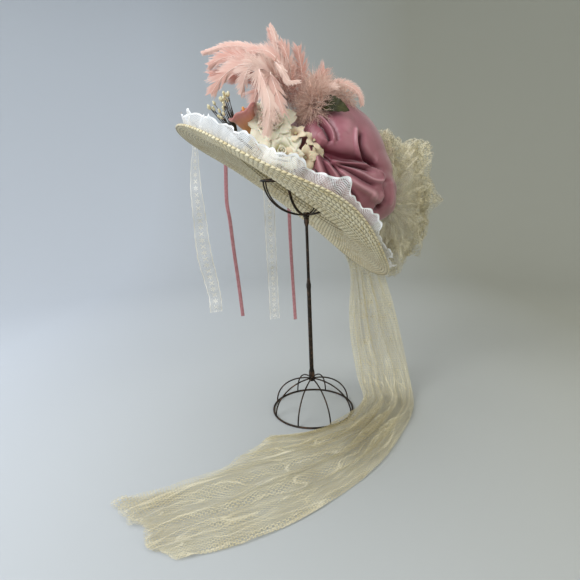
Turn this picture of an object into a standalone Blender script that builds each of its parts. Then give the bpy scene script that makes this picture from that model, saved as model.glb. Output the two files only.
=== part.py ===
"""Wide-brim straw hat with a satin puff, net, lace, flowers and feathers, on a wire hat stand.

Metres, +Z up. The viewer stands at -Y. The hat's own frame has +X down the slope towards its back,
+Y away from the viewer and +Z up through the crown. The stand's rod is the Z axis of the layout empty.
"""

from math import atan2, cos, degrees, exp, hypot, pi, radians, sin

import bmesh
import bpy
from mathutils import Matrix, Vector

# Layout: the stand's axis, measured from the middle of the whole thing's outline on the floor
STAND_X = 0.0238
STAND_Y = 0.0578

# Stand
STAND_RING = 0.064
RING_WIRE = 0.0015
RING_LIFT = RING_WIRE * cos(pi / 6)
RIB_WIRE = 0.0013
RIBS = 8
RIB_STEPS = 5
RIB_FIRST, RIB_LAST = 0.045, 0.995
RIB_OFFSET = 0.47
RING_SIDES, WIRE_SIDES, ROD_SIDES = 20, 6, 12
BELL_HEIGHT = 0.053
TOP_RING_HEIGHT = 0.366
TOP_HUB_HEIGHT = TOP_RING_HEIGHT - BELL_HEIGHT
COLLAR_RADIUS = 0.0052
COLLAR_LENGTH = 0.008
ROD_LOWER_RADIUS = 0.0031
ROD_UPPER_RADIUS = 0.0023
ROD_JOINT_HEIGHT = 0.205
ROD_FLARE = 0.012
SOCKET_RADIUS, SOCKET_LENGTH = 0.0039, 0.008
TOUCH_GAP = 0.0003
WELD = 0.000002

# Hat seat: the middle of the brim's rim, and how the hat is tipped on the stand
HAT_X, HAT_Y, HAT_Z = -0.0288, 0.0, 0.3332
HAT_TILT = radians(37.3)
HAT_LEAN = radians(6.6)
HAT_TURN = radians(-2.3)

# Straw body
STRAW = 0.0022
HEAD_LENGTH = 0.190
HEAD_WIDTH = 0.164
HEAD_RISE = 0.0155
HEAD_EASE = 0.0008
CROWN_LEAN = 0.90
BRIM_LENGTH = 0.3606
BRIM_WIDTH = 0.3414
RIM_BENDS = (
    {"turns": 2, "cos": -0.0068, "sin": -0.0024},
    {"turns": 3, "cos": 0.0009, "sin": -0.0029},
)
RIM_LIFT = {"angle": 290, "height": 0.022, "width": 26}
CROWN_SIDES, BRIM_SIDES, BRIM_ROWS = 26, 40, 4
CROWN_SHAPE = (
    {"wide": 0.80, "drop": 0.000},
    {"wide": 0.93, "drop": 0.005},
    {"wide": 1.00, "drop": 0.016},
)
CROWN_BOW = 0.004
CROWN_TUCK = 0.001

# Lace edging
LACE = 0.001
LACE_RUFFLES = 15
LACE_WAVE = 0.0035
LACE_DROOP = 0.0015
LACE_ROWS = (
    {"back": 0.030, "rise": 0.0012, "sway": 0.0},
    {"back": 0.012, "rise": 0.0026, "sway": 0.2},
    {"back": 0.000, "rise": 0.0160, "sway": 1.0},
)

# Satin puff: its outline from the gather, seen from the viewer's side
SATIN = 0.002
PUFF_MIDDLE = (0.018, 0.0, 0.068)
PUFF_NEAR, PUFF_FAR = 0.103, 0.092
PUFF_SIDES, PUFF_LAYERS, PUFF_POLE = 24, 7, 84
PUFF_OUTLINE = (
    {"angle": -90, "reach": 0.072},
    {"angle": -50, "reach": 0.084},
    {"angle": -15, "reach": 0.104},
    {"angle": 5, "reach": 0.115},
    {"angle": 17, "reach": 0.108},
    {"angle": 30, "reach": 0.098},
    {"angle": 50, "reach": 0.091},
    {"angle": 90, "reach": 0.091},
    {"angle": 118, "reach": 0.100},
    {"angle": 140, "reach": 0.094},
    {"angle": 180, "reach": 0.074},
    {"angle": 225, "reach": 0.070},
)
PUFF_FOLDS = (
    {"angle": -62, "depth": 0.007, "width": 9},
    {"angle": -33, "depth": 0.009, "width": 8},
    {"angle": -6, "depth": 0.006, "width": 7},
    {"angle": 24, "depth": 0.008, "width": 8},
    {"angle": 78, "depth": 0.005, "width": 12},
    {"angle": 128, "depth": 0.005, "width": 10},
)

# Net
NET = 0.0015
POUF_MIDDLE = (0.119, 0.062, 0.322)
POUF_SIZE = (0.092, 0.082, 0.116)
POUF_RUFFLES = 9
POUF_SIDES, POUF_LAYERS, POUF_POLE = 20, 6, 82
POUF_FINE, POUF_BROAD = 0.060, 0.035
TRAIN_PLEATS = 4
TRAIN_ROUTE = (
    {"x": 0.0560, "y": 0.0560, "z": 0.2700, "width": 0.060, "heading": -52, "depth": 0.006},
    {"x": 0.0790, "y": 0.0740, "z": 0.2460, "width": 0.066, "heading": -50, "depth": 0.007},
    {"x": 0.0990, "y": 0.0860, "z": 0.2260, "width": 0.070, "heading": -47, "depth": 0.009},
    {"x": 0.1080, "y": 0.0880, "z": 0.1930, "width": 0.070, "heading": -40, "depth": 0.012},
    {"x": 0.1120, "y": 0.0820, "z": 0.1480, "width": 0.080, "heading": -28, "depth": 0.014},
    {"x": 0.1160, "y": 0.0720, "z": 0.1000, "width": 0.088, "heading": -18, "depth": 0.016},
    {"x": 0.1220, "y": 0.0580, "z": 0.0540, "width": 0.090, "heading": -14, "depth": 0.018},
    {"x": 0.1260, "y": 0.0400, "z": 0.0190, "width": 0.088, "heading": -14, "depth": 0.019},
    {"x": 0.1270, "y": 0.0120, "z": 0.0008, "width": 0.082, "heading": -20, "depth": 0.020},
    {"x": 0.1100, "y": -0.0280, "z": 0.0008, "width": 0.084, "heading": -33, "depth": 0.022},
    {"x": 0.0860, "y": -0.0740, "z": 0.0008, "width": 0.080, "heading": -44, "depth": 0.024},
    {"x": 0.0460, "y": -0.1120, "z": 0.0008, "width": 0.108, "heading": -54, "depth": 0.022},
    {"x": -0.0040, "y": -0.1440, "z": 0.0008, "width": 0.136, "heading": -63, "depth": 0.019},
    {"x": -0.0600, "y": -0.1760, "z": 0.0008, "width": 0.156, "heading": -71, "depth": 0.017},
    {"x": -0.1170, "y": -0.2080, "z": 0.0008, "width": 0.148, "heading": -72, "depth": 0.014},
    {"x": -0.1650, "y": -0.2240, "z": 0.0008, "width": 0.140, "heading": -66, "depth": 0.011},
    {"x": -0.2140, "y": -0.2420, "z": 0.0008, "width": 0.144, "heading": -46, "depth": 0.008},
)
TRAIN_STEPS = 18
TRAIN_FLOOR = 0.0008
TRAIN_SLOT = {"x": 0.104, "y": 0.087, "z": 0.214, "long": 0.088, "wide": 0.040, "high": 0.072, "heading": -46}

# Flowers, in the hat's frame
ROSES = {
    "rose_large": {
        "place": (-0.070, -0.093, 0.062), "radius": 0.025, "height": 0.030, "turn": 20,
        "root": (-0.052, -0.058, 0.045),
    },
    "rose_small": {
        "place": (-0.037, -0.106, 0.040), "radius": 0.020, "height": 0.024, "turn": 75,
        "root": (-0.032, -0.062, 0.034),
    },
}
ROSE_TURNS, ROSE_STEPS = 2.3, 32
ROSE_SHAPE = ({"height": 0.0, "wide": 0.42}, {"height": 0.5, "wide": 0.78}, {"height": 1.0, "wide": 1.0})
ROSE_HEART = 0.16
ROSE_LOBE = 0.002
PETAL = 0.0014
STEM = 0.0028
CALLA = {"base": (-0.062, -0.050, 0.030), "mouth": (-0.120, -0.082, 0.068), "radius": 0.015, "lip": 0.010}
CALLA_SIDES = 14
CALLA_SHAPE = (
    {"share": 0.00, "wide": 0.16},
    {"share": 0.35, "wide": 0.26},
    {"share": 0.70, "wide": 0.62},
    {"share": 1.00, "wide": 1.00},
)
BLOSSOM_HEART = (-0.020, -0.080, 0.052)
BLOSSOMS = (
    {"x": -0.034, "y": -0.094, "z": 0.066, "radius": 0.0100},
    {"x": -0.013, "y": -0.093, "z": 0.072, "radius": 0.0095},
    {"x": -0.010, "y": -0.098, "z": 0.050, "radius": 0.0105},
    {"x": -0.022, "y": -0.102, "z": 0.038, "radius": 0.0090},
)
BLOSSOM_HEART_RADIUS = 0.007
BLOSSOM_STEM = 0.002
BLOSSOM_SIDES, BLOSSOM_LOBES = 10, 5
BLOSSOM_SHAPE = (
    {"height": -0.0010, "wide": 0.10},
    {"height": 0.0000, "wide": 0.20},
    {"height": 0.0035, "wide": 1.00},
    {"height": 0.0048, "wide": 0.98},
    {"height": 0.0016, "wide": 0.16},
)
BERRY = {"place": (-0.029, -0.0800, 0.078), "radius": 0.0050}
STAMEN_ROOT = (-0.098, -0.055, 0.028)
STAMENS = (
    {"x": -0.146, "y": -0.080, "z": 0.052},
    {"x": -0.140, "y": -0.086, "z": 0.062},
    {"x": -0.150, "y": -0.070, "z": 0.044},
    {"x": -0.134, "y": -0.078, "z": 0.034},
    {"x": -0.128, "y": -0.092, "z": 0.046},
)
STAMEN = {"root": 0.006, "low": 0.0013, "high": 0.0009, "tip": 0.0022, "tip_stretch": 1.9}
STAMEN_FOOT = (-0.0666, -0.0396, 0.028)
LEAF = 0.0012
LEAF_SHAPE = (
    {"share": 0.00, "wide": 0.25},
    {"share": 0.25, "wide": 0.85},
    {"share": 0.50, "wide": 1.00},
    {"share": 0.75, "wide": 0.70},
    {"share": 1.00, "wide": 0.08},
)
LEAF_BEND, LEAF_FOLD = 0.12, 0.18
LEAVES = {
    "leaf_large": {"root": (-0.030, -0.060, 0.108), "tip": (-0.002, -0.078, 0.130), "width": 0.017},
    "leaf_small": {"root": (-0.070, -0.060, 0.090), "tip": (-0.097, -0.100, 0.086), "width": 0.012},
}

# Feathers: each lock leaves the head, passes its bend and ends at its tip, in the hat's frame
PLUME_HEAD = (-0.056, -0.067, 0.103)
PLUME_HEAD_RADIUS = 0.0255
LOCK_STEPS, LOCK_SIDES = 5, 5
LOCKS = (
    {"bend": (-0.110, -0.050, 0.150), "tip": (-0.192, -0.055, 0.091), "width": 0.024},
    {"bend": (-0.120, -0.055, 0.120), "tip": (-0.170, -0.060, 0.074), "width": 0.030},
    {"bend": (-0.105, -0.045, 0.125), "tip": (-0.143, -0.040, 0.168), "width": 0.030},
    {"bend": (-0.105, -0.030, 0.120), "tip": (-0.168, -0.025, 0.124), "width": 0.034},
    {"bend": (-0.070, -0.054, 0.140), "tip": (-0.100, -0.048, 0.168), "width": 0.034},
    {"bend": (-0.100, -0.085, 0.135), "tip": (-0.080, -0.098, 0.066), "width": 0.022},
    {"bend": (-0.050, -0.058, 0.140), "tip": (-0.052, -0.055, 0.160), "width": 0.042},
    {"bend": (-0.035, -0.070, 0.125), "tip": (-0.016, -0.078, 0.158), "width": 0.036},
    {"bend": (-0.026, -0.060, 0.172), "tip": (0.010, -0.068, 0.157), "width": 0.016},
)

# Streamers: x and z of their routes in the layout; each hangs from the rim's far side
STREAMER = 0.001
TIE_LAP = 0.003
TIE_EASE = -0.0004
TIE_TURN, TIE_SWAY, TIE_SCALLOP = 0.35, 0.004, 0.07
TIES = {
    "lace_tie_front": {
        "scallops": 12,
        "route": (
            {"x": -0.168, "z": 0.421, "width": 0.008},
            {"x": -0.1725, "z": 0.366, "width": 0.018},
            {"x": -0.171, "z": 0.311, "width": 0.022},
            {"x": -0.169, "z": 0.253, "width": 0.026},
            {"x": -0.158, "z": 0.184, "width": 0.023},
            {"x": -0.157, "z": 0.152, "width": 0.021},
        ),
    },
    "ribbon_front": {
        "scallops": 0,
        "route": (
            {"x": -0.130, "z": 0.397, "width": 0.0065},
            {"x": -0.133, "z": 0.337, "width": 0.0065},
            {"x": -0.130, "z": 0.302, "width": 0.0065},
            {"x": -0.127, "z": 0.247, "width": 0.0065},
            {"x": -0.123, "z": 0.192, "width": 0.0065},
            {"x": -0.119, "z": 0.125, "width": 0.0065},
        ),
    },
    "lace_tie_back": {
        "scallops": 12,
        "route": (
            {"x": -0.065, "z": 0.357, "width": 0.015},
            {"x": -0.060, "z": 0.343, "width": 0.021},
            {"x": -0.061, "z": 0.260, "width": 0.021},
            {"x": -0.061, "z": 0.182, "width": 0.020},
            {"x": -0.061, "z": 0.105, "width": 0.020},
        ),
    },
    "ribbon_back": {
        "scallops": 0,
        "route": (
            {"x": -0.024, "z": 0.324, "width": 0.0065},
            {"x": -0.024, "z": 0.257, "width": 0.0065},
            {"x": -0.023, "z": 0.192, "width": 0.0065},
            {"x": -0.021, "z": 0.101, "width": 0.0065},
        ),
    },
}


# Colours: linear red, green and blue
COLOURS = {
    "straw": ((0.66, 0.60, 0.40), 0.75, 0.0),
    "white_lace": ((0.85, 0.84, 0.80), 0.85, 0.0),
    "mauve_satin": ((0.42, 0.14, 0.20), 0.35, 0.0),
    "cream_net": ((0.68, 0.61, 0.42), 0.9, 0.0),
    "ivory_petal": ((0.83, 0.77, 0.60), 0.7, 0.0),
    "pink_petal": ((0.52, 0.20, 0.20), 0.6, 0.0),
    "green_leaf": ((0.16, 0.19, 0.07), 0.6, 0.0),
    "pink_feather": ((0.76, 0.48, 0.46), 0.9, 0.0),
    "dark_iron": ((0.035, 0.024, 0.018), 0.6, 0.8),
}


def material(name):
    """The named material, made once."""
    found = bpy.data.materials.get(name)
    if found:
        return found
    colour, roughness, metallic = COLOURS[name]
    made = bpy.data.materials.new(name)
    made.use_nodes = True
    shader = made.node_tree.nodes["Principled BSDF"]
    shader.inputs["Base Color"].default_value = (*colour, 1.0)
    shader.inputs["Roughness"].default_value = roughness
    shader.inputs["Metallic"].default_value = metallic
    made.diffuse_color = (*colour, 1.0)
    return made


def collection(name):
    """A new collection in the scene."""
    made = bpy.data.collections.new(name)
    bpy.context.scene.collection.children.link(made)
    return made


def add_mesh(name, mesh, group, parent=None, finish=None, smooth=None):
    """A mesh object in a collection, under a parent, with a material and an angle for sharp edges."""
    obj = bpy.data.objects.new(name, mesh)
    group.objects.link(obj)
    obj.parent = parent
    if finish:
        mesh.materials.append(material(finish))
    if smooth:
        mesh.shade_smooth()
        mesh.set_sharp_from_angle(angle=radians(smooth))
    return obj


def mesh_of(obj):
    """The object's evaluated mesh as a new mesh, with coincident points welded."""
    bpy.context.view_layer.update()
    graph = bpy.context.evaluated_depsgraph_get()
    mesh = bpy.data.meshes.new_from_object(obj.evaluated_get(graph))
    work = bmesh.new()
    work.from_mesh(mesh)
    bmesh.ops.remove_doubles(work, verts=work.verts, dist=1e-6)
    work.to_mesh(mesh)
    work.free()
    return mesh


def loft(name, rows, wrap=False, caps=False):
    """A mesh through rows of points, closed round each row if wrap, with flat end caps if caps."""
    wide = len(rows[0])
    points = [point for row in rows for point in row]
    faces = []
    for r in range(len(rows) - 1):
        for c in range(wide if wrap else wide - 1):
            n = (c + 1) % wide
            faces.append((r * wide + c, r * wide + n, (r + 1) * wide + n, (r + 1) * wide + c))
    if caps:
        last = (len(rows) - 1) * wide
        faces.append(tuple(range(wide - 1, -1, -1)))
        faces.append(tuple(range(last, last + wide)))
    mesh = bpy.data.meshes.new(name)
    mesh.from_pydata(points, [], faces)
    mesh.update()
    work = bmesh.new()
    work.from_mesh(mesh)
    bmesh.ops.recalc_face_normals(work, faces=work.faces)
    work.to_mesh(mesh)
    work.free()
    return mesh


def thicken(obj, thickness, offset=0.0):
    """A wall of even thickness on an open surface."""
    wall = obj.modifiers.new("wall", "SOLIDIFY")
    wall.thickness = thickness
    wall.offset = offset
    wall.use_even_offset = False
    wall.use_quality_normals = True


def combine(obj, other, operation):
    """A Boolean with another object, kept exact."""
    step = obj.modifiers.new(operation.lower(), "BOOLEAN")
    step.operation = operation
    step.solver = "EXACT"
    step.object = other


def make_guide(obj):
    """Marks a cutter, which is drawn as wire and never rendered."""
    obj.hide_render = True
    obj.display_type = "WIRE"


def remove(obj):
    bpy.data.objects.remove(obj)


def largest_body(mesh):
    """Keeps the largest connected body of a mesh, where a cut left crumbs."""
    work = bmesh.new()
    work.from_mesh(mesh)
    unseen = set(work.verts)
    bodies = []
    while unseen:
        stack = [unseen.pop()]
        body = set(stack)
        while stack:
            for edge in stack.pop().link_edges:
                for vert in edge.verts:
                    if vert not in body:
                        body.add(vert)
                        stack.append(vert)
        unseen -= body
        bodies.append(body)
    keep = max(bodies, key=len)
    crumbs = [vert for vert in work.verts if vert not in keep]
    bmesh.ops.delete(work, geom=crumbs, context="VERTS")
    bmesh.ops.triangulate(work, faces=work.faces)
    bmesh.ops.remove_doubles(work, verts=work.verts, dist=WELD)
    work.to_mesh(mesh)
    work.free()


def settle(obj, smooth):
    """Applies an object's modifiers, keeps its largest body and shades it smooth up to an angle."""
    mesh = mesh_of(obj)
    largest_body(mesh)
    obj.modifiers.clear()
    obj.data = mesh
    mesh.shade_smooth()
    mesh.set_sharp_from_angle(angle=radians(smooth))


def grown(name, obj, by, group):
    """A guide: the object's evaluated shape, pushed out along its normals."""
    mesh = mesh_of(obj)
    work = bmesh.new()
    work.from_mesh(mesh)
    work.normal_update()
    moves = [(vert, vert.normal * by) for vert in work.verts]
    for vert, move in moves:
        vert.co += move
    work.to_mesh(mesh)
    work.free()
    made = add_mesh(name, mesh, group)
    made.matrix_world = obj.matrix_world.copy()
    make_guide(made)
    return made


def wire(name, points, radius, sides_step, group, closed=False):
    """A round wire through the points, as a mesh object."""
    curve = bpy.data.curves.new(name, "CURVE")
    curve.dimensions = "3D"
    curve.bevel_depth = radius
    curve.bevel_resolution = sides_step
    curve.use_fill_caps = not closed
    line = curve.splines.new("POLY")
    line.points.add(len(points) - 1)
    for point, place in zip(line.points, points):
        point.co = (*place, 1.0)
    line.use_cyclic_u = closed
    drawn = bpy.data.objects.new(name, curve)
    group.objects.link(drawn)
    mesh = mesh_of(drawn)
    remove(drawn)
    return add_mesh(name, mesh, group)


def fuse(name, pieces, group, parent, finish, smooth):
    """Joins overlapping solids into one body with Boolean unions."""
    body = pieces[0]
    for piece in pieces[1:]:
        combine(body, piece, "UNION")
    mesh = mesh_of(body)
    for piece in pieces:
        remove(piece)
    largest_body(mesh)
    mesh.materials.clear()
    return add_mesh(name, mesh, group, parent, finish, smooth)


def between(rows, share, key):
    """A smooth value through the rows of a table, with share running from 0 to 1 (Catmull-Rom)."""
    spot = share * (len(rows) - 1)
    i = min(int(spot), len(rows) - 2)
    t = spot - i
    p0, p1, p2, p3 = (rows[min(max(i + k, 0), len(rows) - 1)][key] for k in (-1, 0, 1, 2))
    return 0.5 * (
        2 * p1 + (p2 - p0) * t
        + (2 * p0 - 5 * p1 + 4 * p2 - p3) * t * t
        + (3 * p1 - p0 - 3 * p2 + p3) * t ** 3
    )


def round_table(rows, angle, key):
    """A value from a table whose rows go round in degrees, eased between its rows."""
    angle = (angle - rows[0]["angle"]) % 360 + rows[0]["angle"]
    for i, row in enumerate(rows):
        after = rows[(i + 1) % len(rows)]
        end = after["angle"] + (360 if i == len(rows) - 1 else 0)
        if row["angle"] <= angle <= end:
            t = (angle - row["angle"]) / (end - row["angle"])
            ease = t * t * (3 - 2 * t)
            return row[key] * (1 - ease) + after[key] * ease
    return rows[-1][key]


# Stand


def bell_rib(angle, wide, high):
    """A rib's line: level at the hub, upright at the ring."""
    line = []
    for i in range(RIB_STEPS + 1):
        turn = pi / 2 * (RIB_FIRST + (RIB_LAST - RIB_FIRST) * i / RIB_STEPS)
        out = wide * sin(turn)
        line.append((out * cos(angle), out * sin(angle), high * cos(turn)))
    return line


def make_bell(name, group, parent, height, flip):
    """A ring, its ribs and the collar they meet in, soldered into one piece."""
    bpy.ops.mesh.primitive_torus_add(
        major_radius=STAND_RING, minor_radius=RING_WIRE, major_segments=RING_SIDES, minor_segments=WIRE_SIDES,
    )
    ring = bpy.context.object
    up = hat_matrix().to_3x3() @ Vector((0, 0, 1))
    ring.data.transform(Matrix.Rotation(atan2(up.y, up.x), 4, "Z"))
    ring.data.transform(Matrix.Translation((0, 0, RING_LIFT)))
    for owner in list(ring.users_collection):
        owner.objects.unlink(ring)
    group.objects.link(ring)
    pieces = [ring]
    for i in range(RIBS):
        line = bell_rib(2 * pi * (i + RIB_OFFSET) / RIBS, STAND_RING, BELL_HEIGHT - RING_LIFT)
        line = [(x, y, z + RING_LIFT) for x, y, z in line]
        pieces.append(wire("rib", line, RIB_WIRE, 1, group))
    work = bmesh.new()
    bmesh.ops.create_cone(
        work, cap_ends=True, segments=ROD_SIDES, radius1=COLLAR_RADIUS, radius2=COLLAR_RADIUS,
        depth=COLLAR_LENGTH, matrix=Matrix.Translation((0, 0, BELL_HEIGHT)),
    )
    mesh = bpy.data.meshes.new("collar")
    work.to_mesh(mesh)
    work.free()
    pieces.append(add_mesh("collar", mesh, group))
    bell = fuse(name, pieces, group, parent, "dark_iron", 40)
    if flip:
        bell.data.transform(Matrix.Diagonal((1, 1, -1, 1)))
        bell.data.flip_normals()
    bell.location = (0, 0, height)


def turned(name, profile, sides, group, parent, finish, smooth, stretch=(1, 1), wall=None):
    """A profile of (radius, height), listed top to bottom, turned about Z."""
    mesh = bpy.data.meshes.new(name)
    points = [(radius * stretch[0], 0, height) for radius, height in profile]
    mesh.from_pydata(points, [(i, i + 1) for i in range(len(points) - 1)], [])
    obj = add_mesh(name, mesh, group, parent, finish)
    spin = obj.modifiers.new("turn", "SCREW")
    spin.steps = spin.render_steps = sides
    spin.use_merge_vertices = True
    spin.merge_threshold = 0.00001
    if wall:
        thicken(obj, wall, -1.0)
    if stretch[1] != stretch[0]:
        mesh = mesh_of(obj)
        obj.modifiers.clear()
        mesh.transform(Matrix.Diagonal((1, stretch[1] / stretch[0], 1, 1)))
        obj.data = mesh
    settle(obj, smooth)
    return obj


def make_stem(group, parent):
    """The rod between the two collars, thicker below its joint."""
    low = BELL_HEIGHT + COLLAR_LENGTH / 2 + TOUCH_GAP
    high = TOP_HUB_HEIGHT - COLLAR_LENGTH / 2 - TOUCH_GAP
    profile = (
        (0, high), (SOCKET_RADIUS, high), (SOCKET_RADIUS, high - SOCKET_LENGTH),
        (ROD_UPPER_RADIUS, high - ROD_FLARE), (ROD_UPPER_RADIUS, ROD_JOINT_HEIGHT + ROD_FLARE),
        (ROD_LOWER_RADIUS, ROD_JOINT_HEIGHT), (ROD_LOWER_RADIUS, low + ROD_FLARE),
        (COLLAR_RADIUS, low + SOCKET_LENGTH), (COLLAR_RADIUS, low), (0, low),
    )
    turned("stand_stem", profile, ROD_SIDES, group, parent, "dark_iron", 40)


# Straw body


def rim_bend(angle):
    """How far the rim stands above or below its mean plane."""
    total = 0.0
    for bend in RIM_BENDS:
        total += bend["cos"] * cos(bend["turns"] * angle) + bend["sin"] * sin(bend["turns"] * angle)
    away = (degrees(angle) - RIM_LIFT["angle"] + 180) % 360 - 180
    return total + RIM_LIFT["height"] * exp(-((away / RIM_LIFT["width"]) ** 2))


def brim_point(angle, share, above=0.0, past=0.0):
    """A point of the brim's middle surface: share 0 at the head opening and 1 at the rim."""
    inner = (HEAD_LENGTH / 2 + HEAD_EASE, HEAD_WIDTH / 2 + HEAD_EASE)
    outer = (BRIM_LENGTH / 2 + past, BRIM_WIDTH / 2 + past)
    x = (inner[0] * (1 - share) + outer[0] * share) * cos(angle)
    y = (inner[1] * (1 - share) + outer[1] * share) * sin(angle)
    height = HEAD_RISE * (1 - share) ** 2 + rim_bend(angle) * share ** 3
    return Vector((x, y, height + above))


def ring_peak():
    """Height of the stand's top ring above the hat's base plane, at its highest point."""
    up = hat_matrix().to_3x3() @ Vector((0, 0, 1))
    ring = Vector((0, 0, TOP_RING_HEIGHT - RING_LIFT)) - Vector((HAT_X, HAT_Y, HAT_Z))
    return ring.dot(up) + STAND_RING * hypot(up.x, up.y) + RING_WIRE


def hat_matrix():
    """The hat's place and tilt in the layout."""
    turn = Matrix.Rotation(HAT_TURN, 4, "Z") @ Matrix.Rotation(HAT_TILT, 4, "Y")
    turn = turn @ Matrix.Rotation(-HAT_LEAN, 4, "X")
    return Matrix.Translation((HAT_X, HAT_Y, HAT_Z)) @ turn


def crown_profile(grow=0.0):
    """The crown's outer side from its tip to its foot, as (radius, height), along the head's length."""
    tip = ring_peak() + TOUCH_GAP + STRAW + grow
    side = HEAD_LENGTH / 2 + grow
    foot = HEAD_RISE - CROWN_TUCK
    profile = [(0.0, tip)]
    profile += [(side * CROWN_LEAN * row["wide"], tip - row["drop"]) for row in CROWN_SHAPE]
    profile += [(side * (1 + CROWN_LEAN) / 2, (tip + foot) / 2 - CROWN_BOW), (side, foot)]
    return profile


def make_crown(group, parent):
    """The crown, open below, resting with its tip on the stand's ring."""
    stretch = (1.0, HEAD_WIDTH / HEAD_LENGTH)
    turned("crown", crown_profile(), CROWN_SIDES, group, parent, "straw", 50, stretch, STRAW)


def make_brim(group, parent):
    """The brim: a bent oval ring whose inner edge meets the crown's foot."""
    rows = []
    for r in range(BRIM_ROWS + 1):
        rows.append([brim_point(2 * pi * i / BRIM_SIDES, r / BRIM_ROWS) for i in range(BRIM_SIDES)])
    brim = add_mesh("brim", loft("brim", rows, wrap=True), group, parent, "straw")
    thicken(brim, STRAW)
    settle(brim, 50)
    return brim


def make_seat(group, parent):
    """A guide for seating the trimmings: the filled crown, with all that lies below the brim's top."""
    gap = TOUCH_GAP + 0.0001
    profile = crown_profile(gap)
    foot = profile[-1]
    profile += [(foot[0], foot[1] - 0.030), (0.0, foot[1] - 0.030)]
    stretch = (1.0, HEAD_WIDTH / HEAD_LENGTH)
    crown = turned("crown_guide", profile, CROWN_SIDES, group, parent, None, 50, stretch)
    top = STRAW / 2 + gap
    rows = []
    for r in range(BRIM_ROWS + 1):
        share = r / BRIM_ROWS
        past = gap + STRAW / 4 if r == BRIM_ROWS else 0.0
        rows.append([brim_point(2 * pi * i / BRIM_SIDES, share, top, past) for i in range(BRIM_SIDES)])
    inward = 1 - 4 * HEAD_EASE / HEAD_WIDTH
    rows.insert(0, [Vector((point.x * inward, point.y * inward, point.z)) for point in rows[0]])
    low = -0.045
    rows.append([Vector((point.x, point.y, low)) for point in rows[-1]])
    rows.append([Vector((point.x, point.y, low)) for point in rows[0]])
    rows.append(rows[0])
    mesh = loft("brim_guide", rows, wrap=True)
    work = bmesh.new()
    work.from_mesh(mesh)
    bmesh.ops.remove_doubles(work, verts=work.verts, dist=1e-6)
    bmesh.ops.recalc_face_normals(work, faces=work.faces)
    work.to_mesh(mesh)
    work.free()
    brim = add_mesh("brim_guide", mesh, group, parent)
    seat = fuse("seat_guide", [crown, brim], group, parent, None, 50)
    make_guide(seat)
    return seat


# Lace edging


def make_brim_lace(group, parent):
    """A ruffled band: it lies on the brim, then stands up and out round the rim."""
    columns = LACE_RUFFLES * 4
    rows = []
    for level in LACE_ROWS:
        row = []
        for i in range(columns):
            angle = 2 * pi * i / columns
            wave = LACE_WAVE * level["sway"] * cos(LACE_RUFFLES * angle + 0.5 * sin(3 * angle))
            share = 1 - (level["back"] - wave) / ((BRIM_LENGTH - HEAD_LENGTH) / 2)
            droop = LACE_DROOP * level["sway"] * cos(2 * LACE_RUFFLES * angle)
            row.append(brim_point(angle, share, STRAW / 2 + LACE / 2 + level["rise"] + droop))
        rows.append(row)
    lace = add_mesh("brim_lace", loft("brim_lace", rows, wrap=True), group, parent, "white_lace")
    thicken(lace, LACE)
    settle(lace, 60)
    return lace


# Satin puff


def puff_point(angle, lift, grow=0.0):
    """A point of the puff: angle round the gather in degrees, lift from -90 at the near pole to 90."""
    reach = round_table(PUFF_OUTLINE, angle, "reach")
    near = max(0.0, -sin(radians(lift)))
    dip = 0.0
    for fold in PUFF_FOLDS:
        away = (angle - fold["angle"] + 180) % 360 - 180
        dip += fold["depth"] * exp(-((away / fold["width"]) ** 2))
    spread = max(0.0, cos(radians(lift))) ** 0.9
    reach = reach * spread - dip * sin(pi * min(1.0, spread)) * (0.35 + 0.65 * near) + grow * spread
    deep = (PUFF_NEAR if lift < 0 else PUFF_FAR) + grow
    turn = radians(angle)
    return Vector((
        PUFF_MIDDLE[0] + reach * cos(turn),
        PUFF_MIDDLE[1] + deep * sin(radians(lift)),
        PUFF_MIDDLE[2] + reach * sin(turn),
    ))


def puff_surface(name, grow):
    """The puff's closed outer surface, or one a little larger."""
    rows = []
    for r in range(PUFF_LAYERS + 1):
        lift = PUFF_POLE * (2 * r / PUFF_LAYERS - 1)
        rows.append([puff_point(360 * i / PUFF_SIDES, lift, grow) for i in range(PUFF_SIDES)])
    return loft(name, rows, wrap=True, caps=True)


def make_satin_puff(group, parent, guides, seat):
    """The draped satin: a hollow wall round the crown, seated on the crown and the brim."""
    puff = add_mesh("satin_puff", puff_surface("satin_puff", 0.0), group, parent, "mauve_satin")
    thicken(puff, SATIN, -1.0)
    combine(puff, seat, "DIFFERENCE")
    settle(puff, 60)
    guide = add_mesh("puff_guide", puff_surface("puff_guide", TOUCH_GAP + 0.0002), guides, parent)
    make_guide(guide)
    return guide


# Net


def make_train(group, parent):
    """The train: a pleated sheet over the back of the brim, down, and forward along the floor."""
    rows = []
    columns = TRAIN_PLEATS * 3 + 1
    spots = []
    for i in range(TRAIN_STEPS + 1):
        share = i / TRAIN_STEPS
        spots.append({key: between(TRAIN_ROUTE, share, key) for key in TRAIN_ROUTE[0]})
    for i, spot in enumerate(spots):
        before, after = spots[max(i - 1, 0)], spots[min(i + 1, TRAIN_STEPS)]
        along = Vector([after[key] - before[key] for key in "xyz"]).normalized()
        heading = radians(spot["heading"])
        across = Vector((cos(heading), sin(heading), 0))
        up = along.cross(across).normalized()
        middle = Vector((spot["x"], spot["y"], max(spot["z"], TRAIN_FLOOR)))
        row = []
        for c in range(columns):
            side = c / (columns - 1) - 0.5
            pleat = 0.5 - 0.5 * cos(2 * pi * (TRAIN_PLEATS * (side + 0.5) + 0.12 * sin(0.7 * i)))
            crest = 0.72 + 0.28 * sin(2.3 * c + 0.35 * i)
            edge = 1 - abs(2 * side) ** 6
            row.append(middle + across * side * spot["width"] + up * spot["depth"] * pleat * crest * edge)
        rows.append(row)
    train = add_mesh("tulle_train", loft("tulle_train", rows), group, parent, "cream_net")
    thicken(train, NET)
    settle(train, 60)
    return train


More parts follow.
